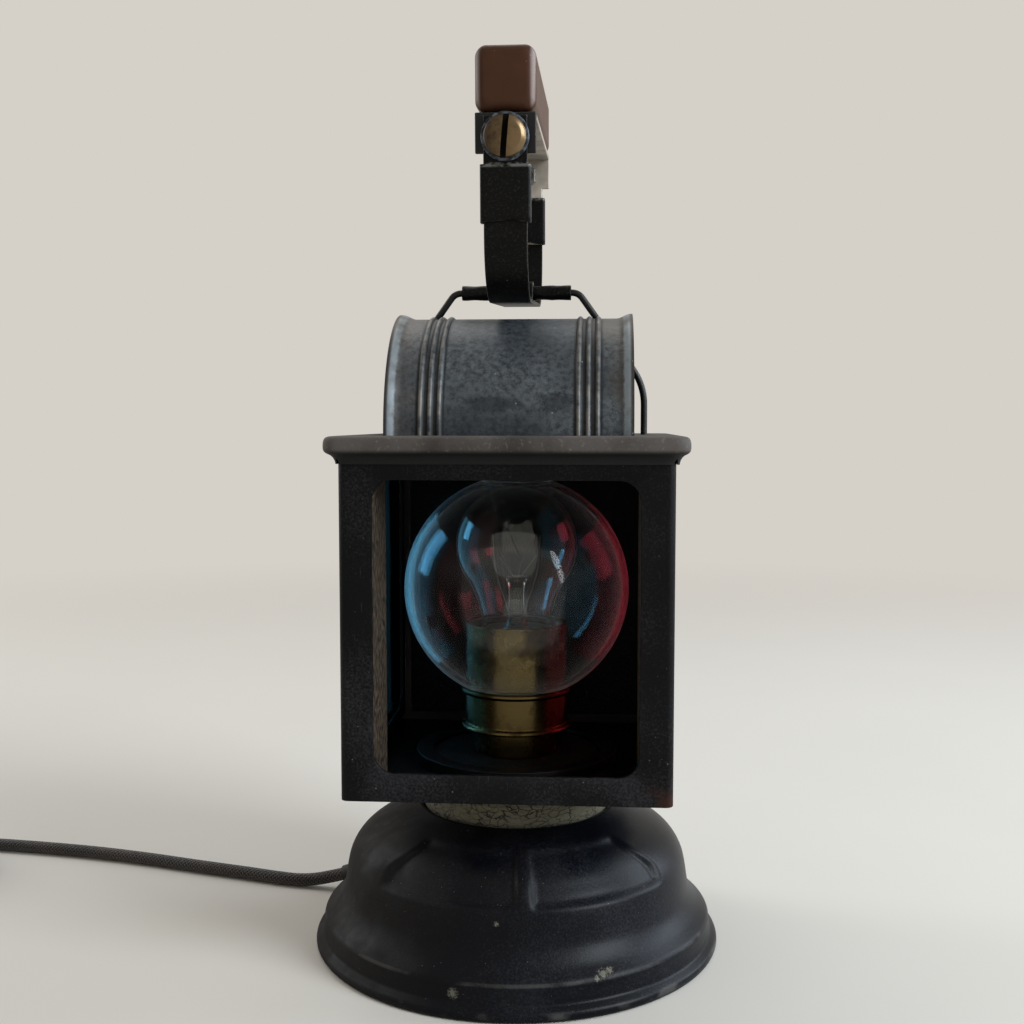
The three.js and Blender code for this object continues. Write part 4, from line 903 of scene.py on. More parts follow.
# Filament mount: hooks of thin wire stand in a ring on the stem's button, grown by a tree that repeats
# them, and the filament runs zigzag between them from the two lead wires.
hook_count = 5
wire_radius = 0.1 * mm
wire = Finish("support_wire")
wire.surface(Base_Color=tone(118, 112, 104), Metallic=1.0, Roughness=0.35)
coil_wire = Finish("filament_coil")
coil_wire.surface(
    Base_Color=coil_wire.mix(coil_wire.noise(2500), (60, 54, 50), (120, 110, 100)), Metallic=1.0,
    Roughness=0.4)
hook_sizes = {"Reach": 6.5 * mm, "Rise": 9.0 * mm, "Radius": wire_radius, "Foot": stem_high.z - 1.6 * mm}
tree, size, keys = node_group("support_hooks", hook_sizes)
hook_tip = tree.vector(size["Reach"], 0.0, size["Rise"])
hook_line = tree.node("GeometryNodeCurvePrimitiveLine", None, {"Start": (0.0, 0.0, 0.0), "End": hook_tip})
hook_round = tree.node("GeometryNodeCurvePrimitiveCircle", None, {
    "Resolution": 8, "Radius": size["Radius"]})
hook = tree.node("GeometryNodeCurveToMesh", None, {
    "Curve": hook_line, "Profile Curve": hook_round, "Fill Caps": True})
hook_ring = tree.node("GeometryNodeMeshCircle", None, {"Vertices": hook_count, "Radius": 0.6 * mm})
hook_index = tree.node("GeometryNodeInputIndex")
hook_turn = tree.vector(0.0, 0.0, hook_index * (2 * math.pi / hook_count))
hooks = tree.node("GeometryNodeInstanceOnPoints", None, {
    "Points": hook_ring, "Instance": hook, "Rotation": hook_turn})
hooks = tree.node("GeometryNodeTransform", None, {
    "Geometry": hooks, "Translation": tree.vector(0.0, 0.0, size["Foot"])})
hook_piece = grown("filament_hooks", tree, keys, hook_sizes, hooks, wire)
fit(hook_piece, "bulb", "steel")

hook_top = stem_high.z + 7.2 * mm
filament_points = []
for step in range(2 * hook_count + 1):
    turn = math.pi + 2 * math.pi * step / (2 * hook_count)
    reach = (6.6 if step % 2 else 8.6) * mm
    rise = 0 if step % 2 else 7.5 * mm
    filament_points.append(Vector((reach * math.cos(turn), reach * math.sin(turn), hook_top + rise)))
filament_line = smooth_line(filament_points, 6)
filament = swept("filament_wire", filament_line, 0.09 * mm, 8, coil_wire)
lead_lines = []
for sign in (-1, 1):
    lead = [Vector((sign * x, 0, z)) for x, z in (
        (1.6 * mm, stem_low.z + 0.5 * stem_run), (3.4 * mm, stem_low.z + 0.72 * stem_run),
        (7.6 * mm, stem_high.z + 2 * mm), (8.6 * mm, hook_top + 7.5 * mm))]
    lead_lines.append(swept("lead", smooth_line(lead, 6), 0.16 * mm, 8, wire))
filament = joined("filament_and_leads", [filament, *lead_lines])
fit(filament, "bulb", "steel", "filament")

# Bulb cap: a thin nickelled shell rolled with the standard coarse thread, over a small brass contact. It
# is cemented to the bulb's neck.
nickel = Finish("nickelled_cap")
nickel.surface(
    Base_Color=nickel.mix(nickel.noise(80, 4), (150, 146, 138), (190, 186, 178)), Metallic=1.0,
    Roughness=0.28, Normal=nickel.grain(700, 0.02 * mm))
thread_pitch = 3.6 * mm
thread_depth = 0.45 * mm
cap_top = cap_high.z / mm
cap_foot = cap_low.z / mm


def thread_press(turn, radius, height):
    """A rolled round thread between the cap's shoulder and its rim."""
    z = height / mm
    share = step_up(z, cap_foot + 2.6, cap_foot + 4.6) * step_up(cap_top - z, 3.0, 4.6)
    wave = 0.5 - 0.5 * math.cos(2 * math.pi * height / thread_pitch - turn)
    return radius - thread_depth * wave * share, height


cap_rows = 60
cap_run = cap_top - cap_foot
cap_line = [(13.15, cap_top - 0.1)]
cap_line += [(13.15, cap_top - (cap_run - 2) * i / cap_rows) for i in range(1, cap_rows)]
cap_line += [(12.9, cap_foot + 1.7), (4.8, cap_foot), (4.8, cap_foot + 0.5)]
cap_line += [(12.3, cap_foot + 2.3 + (cap_run - 2.4) * i / cap_rows) for i in range(cap_rows + 1)]
cap_line = [(radius * mm, height * mm) for radius, height in cap_line]
cap = turned("bulb_cap_fine", cap_line, 96, nickel, press=thread_press)
fit(cap, "bulb", "steel", "bulb_cap")

# Case: four walls and a floor, folded from one sheet in blue-black paint, with three round-cornered
# windows and the doorway at the back. It is speckled with chips and rusts at its lower right corner.
enamel = Finish("case_paint")
case_cloud = enamel.noise(22, 6)
case_grain = enamel.noise(1100, 3)
low_share = enamel.rise(enamel.axis("Z"), 130 * mm, 66 * mm)
case_specks = enamel.specks(700, 0.1, 0.05).math("MAXIMUM", enamel.specks(520, 0.14, 0.12) * low_share)
case_lines = enamel.scratches(1500, (0.2, 0.9, 0.1), 12, 0.72).math(
    "MAXIMUM", enamel.scratches(1800, (0.1, -0.6, 0.2), 9, 0.72) * low_share)
case_edges = enamel.edges(0.7 * mm)
rust_corner = enamel.away(Vector((54, -54, 64)) * mm)
rust = enamel.rise(rust_corner / (13 * mm) + enamel.noise(190, 5) * 1.4, 1.5, 0.8) * 0.6
rust = rust.math("MAXIMUM", case_edges * enamel.rise(enamel.noise(60, 5), 0.6, 0.7) * 0.7)
case_dust = enamel.rise(
    enamel.noise(1300, 4) * 0.6 + enamel.noise(35, 5) * 0.5 + low_share * 0.06, 0.52, 0.86)
case_marks = (case_specks * 0.4 + case_lines * 0.05).math("MINIMUM", 1.0)
edge_wear = case_edges * enamel.rise(enamel.noise(120, 4), 0.42, 0.62) * 0.4
enamel.surface(
    Base_Color=enamel.layered(
        enamel.mix(case_cloud, (4, 4, 6), (12, 12, 15)), (case_dust, (44, 43, 46)),
        (case_marks, (130, 130, 132)), (edge_wear, (74, 70, 68)), (rust, (58, 37, 28))),
    Roughness=case_cloud * 0.18 + rust * 0.25 + 0.36, Specular_IOR_Level=0.12,
    Normal=enamel.bump(
        case_cloud * 2 + enamel.noise(90, 3), 0.1 * mm, enamel.bump(case_grain + rust, 0.04 * mm)))
soot = Finish("case_inside")
soot_cloud = soot.noise(40, 5)
soot.surface(
    Base_Color=soot.mix(soot_cloud, (4, 4, 5), (11, 10, 10)), Roughness=soot_cloud * 0.3 + 0.35,
    Specular_IOR_Level=0.22, Normal=soot.grain(700, 0.05 * mm))


def rounded(half_x, half_y, radius, steps=10):
    """A rectangle with round corners, counter-clockwise."""
    points = []
    for corner, (sign_x, sign_y) in enumerate(((1, 1), (-1, 1), (-1, -1), (1, -1))):
        for k in range(steps + 1):
            turn = (corner + k / steps) * math.pi / 2
            points.append((sign_x * (half_x - radius) + radius * math.cos(turn),
                           sign_y * (half_y - radius) + radius * math.sin(turn)))
    return points


def prism(name, outline, low, high, finish, axis="Z"):
    """An outline drawn out along an axis. Across Z it is x, y; across Y it is x, z; across X it is y, z."""
    place = {
        "Z": lambda a, b, height: (a, b, height),
        "Y": lambda a, b, height: (a, height, b),
        "X": lambda a, b, height: (height, a, b),
    }[axis]
    points = [place(a, b, height) for height in (low, high) for a, b in outline]
    *sides, foot, top = ring_faces(2, len(outline))
    return outward(made(name, points, [foot, top, *sides], finish))


case_half = 54 * mm
case_sheet = 1.5 * mm
case_low, case_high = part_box("case_wrap")
inner_half = case_half - case_sheet
window_half = 43 * mm
window_low, window_high = 73.5 * mm, 168.9 * mm
window_mid = (window_low + window_high) / 2
window_corner = 7 * mm
window_line = rounded(window_half, (window_high - window_low) / 2, window_corner, 14)
window_line = [(a, b + window_mid) for a, b in window_line]
over = 2 * mm
doorway_half, doorway_low, doorway_high = 46.5 * mm, 69.1 * mm, 171.3 * mm
bore_radius, bore_low, bore_high = 30.26 * mm, 60 * mm, 68 * mm
case = prism("case", rounded(case_half, case_half, 2.5 * mm), case_low.z, case_high.z, enamel)
case.data.materials.append(soot.material)
tools = [
    prism("room", rounded(inner_half, inner_half, 1 * mm), case_low.z + case_sheet, case_high.z + over,
          enamel),
    prism("front", window_line, -case_half - over, -inner_half + over, enamel, "Y"),
    prism("left", window_line, -case_half - over, -inner_half + over, enamel, "X"),
    prism("right", window_line, inner_half - over, case_half + over, enamel, "X"),
    block("doorway", (-doorway_half, inner_half - over, doorway_low),
          (doorway_half, case_half + over, doorway_high), enamel, 0),
    rod(bore_radius, bore_low, bore_high, 96, enamel),
]
for half_turns in (0, 1):
    lug_way = block("lug_way", (27.7 * mm, -3.7 * mm, 62 * mm), (32.5 * mm, 3.7 * mm, bore_high),
                    enamel, 0)
    lug_way.data.transform(Matrix.Rotation(half_turns * math.pi - math.radians(30), 4, "Z"))
    tools.append(lug_way)
cut(case, tools)
soften(case, 0.4 * mm, 2)
slack = 0.1 * mm
for face in case.data.polygons:
    reach = max(abs(face.center.x), abs(face.center.y))
    inside = reach < inner_half + slack and face.center.z > case_low.z + case_sheet - slack
    face.material_index = 1 if inside else 0
shaded(case, 30)
fit(case, "lamp_case", "case_paint", "case_wrap")
channel = turned("case_channel", outline_of(
    [(33.0, 65.6), (36.4, 65.6), (36.4, 69.5), (30.3, 69.5), (30.3, 68.0), (33.0, 68.0)], 0.3), 96, soot)
fit(channel, "lamp_case", "case_paint", "case_collar")

# Guides: two angle strips inside the front window, between floor and lid, that once held a slide. Their
# paint has gone, and they show grainy grey-brown metal.
guide_finish = Finish("bare_guide")
guide_grain = guide_finish.noise(700, 4, (1, 1, 0.5))
guide_finish.surface(
    Base_Color=guide_finish.mix(
        guide_finish.rise(guide_grain, 0.36, 0.68), (28, 24, 20),
        guide_finish.mix(guide_finish.noise(60, 5), (72, 62, 51), (98, 86, 72))),
    Metallic=0.2, Roughness=0.7, Specular_IOR_Level=0.3, Normal=guide_finish.bump(guide_grain, 0.15 * mm))
for side, sign in (("left", -1), ("right", 1)):
    low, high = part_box(f"front_guide_{side}")
    near, far, gauge = window_half, window_half + 4.5 * mm, 1.2 * mm
    strip = [(near, low.y), (near + gauge, low.y), (near + gauge, high.y - gauge), (far, high.y - gauge),
             (far, high.y), (near, high.y)]
    guide = prism(f"guide_{side}", [(sign * x, y) for x, y in strip], low.z, high.z, guide_finish)
    soften(guide, 0.2 * mm)
    fit(guide, "lamp_case", "case_paint", f"front_guide_{side}")

# Side panes: signal glass, blue on the left and red on the right, each in a folded frame inside its
# window.
for side, sign, colour in (("blue", -1, (0.1, 0.38, 0.66, 1)), ("red", 1, (0.17, 0.012, 0.02, 1))):
    low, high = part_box(f"{side}_pane")
    glass = glass_finish(
        f"{side}_signal_glass", colour, index=1.3, shine=0.5, wave_size=30, waves=0.3 * mm,
        coat=tone(12, 13, 16), film=0.036, rough=0.05)
    pane = block(f"{side}_glass_pane", low, high, glass, 0.3 * mm)
    fit(pane, "lamp_case", f"{side}_glass", f"{side}_pane")
    inner_x = low.x if sign > 0 else high.x
    pocket_x = sorted((inner_x - sign * touch, sign * (inner_half + over)))
    view_x = sorted((sign * 45 * mm, sign * (inner_half + over)))
    holder = block("frame_bar", *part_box(f"{side}_pane_frame"), soot, 0)
    pocket = block("pocket", (pocket_x[0], low.y - touch, low.z - touch),
                   (pocket_x[1], high.y + touch, high.z + touch), soot, 0)
    opening = prism("opening", window_line, view_x[0], view_x[1], soot, "X")
    cut(holder, [pocket, opening])
    soften(holder, 0.2 * mm)
    fit(holder, "lamp_case", "case_paint", f"{side}_pane_frame")


# Lid: a pressed square cap with a coved skirt and a soft round edge, rusty brown under years of dust,
# with a vent opening under the hood and two holes for the bail's feet.
def square_loft(name, outline, corner, finish, steps=10):
    """A square piece whose half width changes with height, with round corners."""
    points = [(x, y, height) for half, height in outline for x, y in rounded(half, half, corner, steps)]
    return made(name, points, ring_faces(len(outline), len(points) // len(outline)), finish)


lid_low, lid_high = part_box("lid")
lid_half = 58.5 * mm
lid_rise = lid_high.z - lid_low.z
lid_shares = [(0.943, 0), (0.945, 0.08), (0.952, 0.2), (0.966, 0.31), (0.984, 0.38), (0.996, 0.46),
              (1, 0.56), (1, 0.72), (0.997, 0.84), (0.988, 0.94), (0.972, 0.985), (0.95, 1)]
lid_line = [(half * lid_half, lid_low.z + height * lid_rise) for half, height in smooth_line(lid_shares, 3)]
rusty = Finish("lid_rust")
lid_cloud = rusty.noise(30, 6)
lid_grain = rusty.noise(800, 4)
# Painted shade: below the skirt's bulge, where it curves back in, the lid is near-black.
lid_above_shade = rusty.rise(rusty.axis("Z"), lid_low.z + 0.35 * lid_rise, lid_low.z + 0.55 * lid_rise)
lid_edges = rusty.edges(1.4 * mm)
rusty.surface(
    Base_Color=rusty.layered(
        rusty.mix(rusty.rise(lid_cloud, 0.35, 0.68), (50, 46, 43), (82, 77, 74)),
        (rusty.rise(lid_grain, 0.56, 0.74) * 0.5, (112, 104, 97)),
        (lid_edges * rusty.rise(lid_cloud, 0.5, 0.62) * 0.4, (124, 116, 108)),
        (1 - lid_above_shade, (14, 13, 14))),
    Roughness=0.75, Specular_IOR_Level=0.3,
    Normal=rusty.bump(lid_cloud * 2 + lid_grain * 0.5, 0.16 * mm))
lid = square_loft("lid_cap", lid_line, 5 * mm, rusty)
pocket_half = case_half + touch
crown_half = 50.5 * mm
lid_tools = [
    block("pocket", (-pocket_half, -pocket_half, lid_low.z - over),
          (pocket_half, pocket_half, case_high.z + touch), rusty, 0),
    block("crown", (-crown_half, -crown_half, lid_low.z - over),
          (crown_half, crown_half, lid_high.z - case_sheet), rusty, 0),
    prism("vent", rounded(21 * mm, 28 * mm, 7 * mm), lid_low.z, lid_high.z + over, rusty),
]
bail_foot = 45.5 * mm
bail_radius = 1.5 * mm
lid_tools += [rod(bail_radius + touch, lid_low.z, lid_high.z + over, 24, rusty,
                  centre=(sign * bail_foot, 0, 0)) for sign in (-1, 1)]
cut(lid, lid_tools)
shaded(soften(lid, 0.3 * mm), 30)
fit(lid, "lamp_case", "lid_paint", "lid")

# Hood: a half barrel of thin sheet over the vent, with three rolled ribs near each flared end. A tree
# bends a flat sheet round and raises the ribs. Blue-grey oxide shows through thin black paint.
hood_sizes = {
    "Radius": 41 * mm, "Half Length": 41 * mm, "Rib Centre": 26 * mm, "Rib Pitch": 3.15 * mm,
    "Rib Width": 1.05 * mm, "Rib Height": 0.85 * mm, "Flare Length": 5.5 * mm, "Flare Height": 1.6 * mm,
    "Axis Height": lid_high.z, "Wall": 1.2 * mm,
}
tree, size, keys = node_group("hood_barrel", hood_sizes)
flat_sheet = tree.node("GeometryNodeMeshCube", None, {
    "Size": tree.vector(size["Half Length"] * 2, math.pi, size["Wall"]),
    "Vertices X": 320, "Vertices Y": 97, "Vertices Z": 2})
along = tree.node("ShaderNodeSeparateXYZ", None, [tree.node("GeometryNodeInputPosition")])
round_turn, in_wall = along.part("Y"), along.part("Z")
outside = in_wall.math("GREATER_THAN", 0.0)
from_centre = (abs(along) - size["Rib Centre"]) / size["Rib Pitch"]
nearest = from_centre.math("ROUND").math("MAXIMUM", -1.0).math("MINIMUM", 1.0)
rib_share = abs(from_centre - nearest) * size["Rib Pitch"] / size["Rib Width"]
rib_bump = (1 - rib_share.math("MINIMUM", 1.0) ** 2.0).math("MAXIMUM", 0.0) * outside
flare_steepness = 1.12
flare_share = (abs(along) - size["Half Length"] + size["Flare Length"]) / size["Flare Length"]
flare_share = (flare_share * flare_steepness).math("MAXIMUM", 0.0).math("MINIMUM", 1.0)
flare = flare_share * flare_share * (3 - 2 * flare_share) * size["Flare Height"]
barrel = size["Radius"] - size["Wall"] / 2 + in_wall + rib_bump * size["Rib Height"] + flare
bent_place = tree.vector(
    along, round_turn.math("SINE") * barrel, round_turn.math("COSINE") * barrel + size["Axis Height"])
barrel_mesh = tree.node("GeometryNodeSetPosition", None, {"Geometry": flat_sheet, "Position": bent_place})
barrel_mesh = tree.node("GeometryNodeStoreNamedAttribute", {"data_type": "FLOAT", "domain": "POINT"}, {
    "Geometry": barrel_mesh, "Name": "rib", "Value": rib_bump})

oxide = Finish("hood_patina")
hood_cloud = oxide.noise(26, 6, rough=0.62)
hood_smudge = oxide.noise(26, 4, (1, 1.2, 2.2), rough=0.5)
hood_mottle = oxide.noise(520, 7, (1, 1, 1), rough=0.75)
hood_grain = oxide.noise(1100, 3)
hood_x, hood_z = oxide.axis("X"), oxide.axis("Z")
rib_mark = oxide.node("ShaderNodeAttribute", {"attribute_name": "rib"}, output="Fac")
# Wear and painted highlight: the rib crests are lightened.
rib_wear_and_highlight = oxide.rise(rib_mark, 0.5, 0.95) * oxide.rise(
    oxide.noise(130, 6, (1, 1.6, 1.6)), 0.34, 0.66)
# Grime and painted shade: the grooves beside and between the ribs are darkened.
rib_groove_dirt_and_shade = oxide.rise(
    abs(abs(hood_x) - hood_sizes["Rib Centre"]), 5.2 * mm, 4.4 * mm) * oxide.rise(rib_mark, 0.55, 0.2)
# Wear and painted highlight: a pale band across each flare stands in for its highlight.
end_wear_and_highlight = oxide.rise(abs(hood_x) + hood_mottle * 1.5 * mm, 38.0 * mm, 38.9 * mm) * oxide.rise(
    abs(hood_x), 40.2 * mm, 39.5 * mm) * oxide.rise(oxide.noise(90, 5), 0.26, 0.56)
# Painted shade: the lip at the very end is darkened.
end_lip_shade = oxide.rise(abs(hood_x) + hood_mottle * 0.4 * mm, 40.2 * mm, 40.7 * mm)
black_left = oxide.rise(
    hood_smudge * 0.9 + hood_mottle * 0.35 + oxide.rise(hood_z, 210 * mm, 196 * mm) * 0.1, 0.6, 0.84)
patina = oxide.mix(oxide.rise(hood_mottle, 0.3, 0.7), (48, 51, 55), (94, 100, 105))
patina = oxide.mix(black_left * 0.55, patina, (22, 24, 27))
# For each dark smear on the front its place across and up, its half width and its half height.
smear_facts = [(15.6, 194.2, 6.6, 3.2), (-4.5, 193.4, 9.8, 2.6)]
for smear_x, smear_z, smear_half, smear_rise in smear_facts:
    beside_smear = (hood_x - smear_x * mm) / (smear_half * mm)
    above_smear = (hood_z - smear_z * mm) / (smear_rise * mm)
    smear = oxide.rise(
        beside_smear * beside_smear + above_smear * above_smear + hood_mottle * 1.6, 2.2, 1.1)
    patina = oxide.mix(
        smear * oxide.axis("Y").math("LESS_THAN", 0.0) * 0.55, patina, (32, 34, 38))
brown = oxide.rise(hood_cloud * 0.5 + abs(hood_x) * 9, 0.52, 0.66)
patina = oxide.layered(
    patina, (brown * 0.35, (96, 84, 70)), (rib_groove_dirt_and_shade * 0.7, (22, 21, 21)),
    (rib_wear_and_highlight * 0.8, (124, 119, 111)), (end_wear_and_highlight * 0.45, (168, 180, 188)), (end_lip_shade * 0.7, (40, 42, 44)),
    (oxide.specks(420, 0.13, 0.08) * 0.5, (172, 170, 164)))
oxide.surface(
    Base_Color=patina, Metallic=0.5 - black_left * 0.25, Specular_IOR_Level=0.3,
    Roughness=hood_mottle * 0.24 + 0.34 + black_left * 0.08,
    Normal=oxide.bump(hood_cloud + hood_mottle * 0.7, 0.14 * mm, oxide.bump(hood_grain, 0.03 * mm)))
hood = grown("hood_barrel", tree, keys, hood_sizes, barrel_mesh, oxide)

# Bail: one bent wire. Its feet go down through the lid to nuts, and its sloping runs leave the hood
# through two holes in the crown. A tube of folded sheet round the top bar keeps the strap centred.
bail_low, bail_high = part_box("bail")
bail_top = bail_high.z - bail_radius
knee_top = lid_high.z + 17.5 * mm
bail_shoulder = 22 * mm
bail_bends = [7 * mm, 2.4 * mm, 2.4 * mm, 7 * mm]
bail_corners = [Vector((x, 0, z)) for x, z in (
    (-bail_foot, bail_low.z), (-bail_foot, knee_top), (-bail_shoulder, bail_top),
    (bail_shoulder, bail_top), (bail_foot, knee_top), (bail_foot, bail_low.z))]
bail_line = [bail_corners[0]]
for before, corner, after, bend in zip(bail_corners, bail_corners[1:], bail_corners[2:], bail_bends):
    bail_line += corner_arc(corner + (before - corner).normalized() * bend, corner,
                            corner + (after - corner).normalized() * bend, 10)
bail_line.append(bail_corners[-1])
bail_finish = Finish("black_wire")
bail_cloud = bail_finish.noise(120, 5)
bail_finish.surface(
    Base_Color=bail_finish.mix(bail_finish.rise(bail_cloud, 0.58, 0.72), (11, 11, 12), (48, 43, 39)),
    Roughness=bail_cloud * 0.3 + 0.28, Specular_IOR_Level=0.3,
    Normal=bail_finish.grain(900, 0.06 * mm, 4))
hood_hole = swept("bail_way", bail_line, bail_radius + 0.5 * mm, 16, oxide)
fit(shaded(cut(hood, [hood_hole])), "lamp_case", "hood_metal", "hood")
wire_share = 0.78
bail = swept("bail_wire", bail_line, bail_radius * wire_share, 20, bail_finish)
fit(bail, "lamp_case", "black_steel", "bail")

black = Finish("strap_paint")
strap_cloud = black.noise(60, 5)
strap_edges = black.edges(0.8 * mm)
strap_lean = math.radians(4)
lean_height = (black.axis("Z") - bail_top) * math.cos(strap_lean)
lean_height = lean_height - black.axis("Y") * math.sin(strap_lean)
# Wear and painted highlight: a broken pale band along the sleeves' top edges.
sleeve_rim_wear_and_highlight = black.rise(lean_height, 36.8 * mm, 37.5 * mm) * black.rise(
    lean_height, 38.8 * mm, 38.3 * mm) * black.rise(black.noise(340, 5), 0.42, 0.56)
strap_grain = black.rise(black.noise(1500, 4), 0.5, 0.72)
strap_wear = (strap_edges * black.rise(black.noise(140, 5), 0.36, 0.56)).math(
    "MAXIMUM", black.specks(500, 0.12, 0.05)).math("MAXIMUM", sleeve_rim_wear_and_highlight)
black.surface(
    Base_Color=black.layered(
        black.mix(strap_cloud, (4, 4, 4), (11, 11, 12)), (strap_grain * 0.5, (46, 44, 42)),
        (strap_wear * 0.7, (118, 117, 112))),
    Roughness=strap_cloud * 0.2 + 0.34, Metallic=strap_wear * 0.4, Specular_IOR_Level=0.12,
    Normal=black.bump(strap_cloud + black.noise(900, 3) * 0.5, 0.06 * mm))
ferrule_radius, ferrule_bore, ferrule_half = 2.7, 1.8, 19.4
ferrule_steps = 40
ferrule_line = [(ferrule_radius, ferrule_half * (2 * i / ferrule_steps - 1))
                for i in range(ferrule_steps + 1)]
ferrule_line = [(ferrule_bore, -ferrule_half), *ferrule_line, (ferrule_bore, ferrule_half)]


def ferrule_press(turn, radius, height):
    """The tube was folded round the wire by hand, so it is not quite round."""
    ripple = 0.06 * math.sin(height * 520 + 2 * math.cos(turn)) + 0.05 * math.cos(2 * turn + 90 * height)
    return radius * (0.98 - abs(ripple)) if radius > 2 * mm else radius, height


ferrule = turned("bail_tube", [(r * mm, x * mm) for r, x in ferrule_line], 48, black, "X",
                 (0, 0, bail_top), ferrule_press)
fit(ferrule, "lamp_case", "black_steel", "bail_ferrule")
dress(steel, "bail_nut_left", "bail_nut_right")

# Baffles: two half-round plates inside the hood's rib groups, pierced with rows of holes so that hot
# air gets out and rain doesn't get in. A tree sets a punch at the place of each hole.
baffle_low, baffle_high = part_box("hood_baffle_right")
baffle_sizes = {"Hole": 4 * mm, "Pitch": 12.5 * mm, "Gauge": baffle_high.x - baffle_low.x}
baffle_radius = 39.5 * mm
baffle_steps = 64
hole_margin = 2.5 * mm
turns = [math.pi * i / baffle_steps for i in range(baffle_steps + 1)]
arc = [(baffle_radius * math.cos(turn), lid_high.z + max(baffle_radius * math.sin(turn), touch))
       for turn in turns]
edge_room = baffle_sizes["Hole"] + hole_margin
holes = [(column * baffle_sizes["Pitch"], edge_room + row * baffle_sizes["Pitch"])
         for row in range(3) for column in range(-2, 3)]
holes = [(y, z) for y, z in holes if math.hypot(y, z) + edge_room < baffle_radius]
for side in ("left", "right"):
    baffle_low, baffle_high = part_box(f"hood_baffle_{side}")
    baffle_x = (baffle_low.x + baffle_high.x) / 2
    plate = prism(f"baffle_{side}", arc, baffle_low.x, baffle_high.x, oxide, "X")
    tree, size, keys = node_group(f"baffle_holes_{side}", baffle_sizes)
    places = tree.node("GeometryNodePoints", None, {"Count": len(holes)})
    index = tree.node("GeometryNodeInputIndex")
    spot_y, spot_z = 0, 0
    for number, (hole_y, hole_z) in enumerate(holes):
        here = index.math("COMPARE", float(number), 0.1)
        spot_y = here * hole_y + spot_y
        spot_z = here * (hole_z + lid_high.z) + spot_z
    places = tree.node("GeometryNodeSetPosition", None, {
        "Geometry": places, "Position": tree.vector(baffle_x, spot_y, spot_z)})
    punch = tree.node("GeometryNodeMeshCylinder", None, {
        "Vertices": 24, "Radius": size["Hole"], "Depth": size["Gauge"] * 3})
    punches = tree.node("GeometryNodeInstanceOnPoints", None, {
        "Points": places, "Instance": punch, "Rotation": (0.0, math.pi / 2, 0.0)})
    punches = grown(f"punches_{side}", tree, keys, baffle_sizes, punches, oxide)
    cut(plate, [punches])
    fit(plate, "lamp_case", "hood_metal", f"hood_baffle_{side}")

# Door: the whole back wall, a flat sheet on a long hinge at the back left corner, with a turned brass
# pull knob. The hinge's knuckles turn on a steel pin.
door_low, door_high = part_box("door_panel")
door = block("door_sheet", door_low, door_high, enamel, 0.4 * mm)
fit(door, "door", "case_paint", "door_panel")
dress(enamel, "hinge_leaf", "door_hinge_leaf")
dress(steel, "hinge_pin")
knob_low, knob_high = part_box("door_knob")
knob_centre = (knob_low + knob_high) / 2
knob_radius = (knob_high.x - knob_low.x) / 2
knob_run = knob_high.y - knob_low.y
knob_shares = [(0, 0), (0.55, 0), (0.55, 0.1), (0.4, 0.16), (0.34, 0.28), (0.38, 0.42), (0.75, 0.52),
               (0.97, 0.62), (1, 0.74), (0.93, 0.88), (0.7, 0.97), (0, 1)]
knob_line = [(max(r, 0) * knob_radius, y * knob_run) for r, y in smooth_line(knob_shares, 4)]
knob = turned("knob", knob_line, 64, brass, "Y", (knob_centre.x, knob_low.y, knob_centre.z))
fit(knob, "door", "brass", "door_knob")

# Handle strap: a band of black sheet bent to a stirrup under the bail's bar. Two sheet sleeves clamp its
# arms to the frame's tongues, and a saddle clip keeps it on the bar. All of it leans to the front.
lean = Matrix.Translation((0, 0, bail_top)) @ Matrix.Rotation(strap_lean, 4, "X")


def leaned(piece):
    piece.data.transform(lean)
    return piece


strap_half, strap_gauge, strap_width = 50.6 * mm, 1.2 * mm, 13.8 * mm
strap_low, strap_top, strap_bend = -4.2 * mm, 52.9 * mm, 20 * mm


def stirrup(half, low, bend, steps=16):
    """The strap's outline on one face, from the top of one arm round to the other."""
    turns = [math.pi / 2 * k / steps for k in range(steps + 1)]
    left = [(-half + bend - bend * math.cos(turn), low + bend - bend * math.sin(turn)) for turn in turns]
    right = [(half - bend + bend * math.sin(turn), low + bend - bend * math.cos(turn)) for turn in turns]
    return [(-half, strap_top), *left, *right, (half, strap_top)]


strap_line = stirrup(strap_half, strap_low, strap_bend)
strap_line += stirrup(strap_half - strap_gauge, strap_low + strap_gauge, strap_bend - strap_gauge)[::-1]
screw_z = 46.3 * mm
screw_bore = 3.3 * mm
through = 60 * mm
screw_way = (screw_bore, -through, through, 32, black, "Y", (0, 0, screw_z))
strap = prism("strap", strap_line, -strap_width / 2, strap_width / 2, black, "X")
cut(strap, [rod(*screw_way)])
soften(strap, 0.25 * mm)
fit(leaned(strap), "handle", "black_steel", "handle_strap")
saddle_turns = [math.pi * i / 20 for i in range(21)]
saddle_arc = [(4 * math.cos(turn), 4 * math.sin(turn)) for turn in saddle_turns]
saddle_inside = [(-3 * math.cos(turn), 3 * math.sin(turn)) for turn in saddle_turns]
saddle_line = [(10, -2.7), (10, -1.7), (4, -1.7), *saddle_arc, (-4, -1.7), (-10, -1.7), (-10, -2.7),
               (-3, -2.7), *saddle_inside, (3, -2.7)]
saddle = prism("saddle", [(y * mm, z * mm) for y, z in saddle_line], -6 * mm, 6 * mm, black, "X")
soften(saddle, 0.15 * mm)
fit(leaned(saddle), "handle", "black_steel", "saddle_clip")

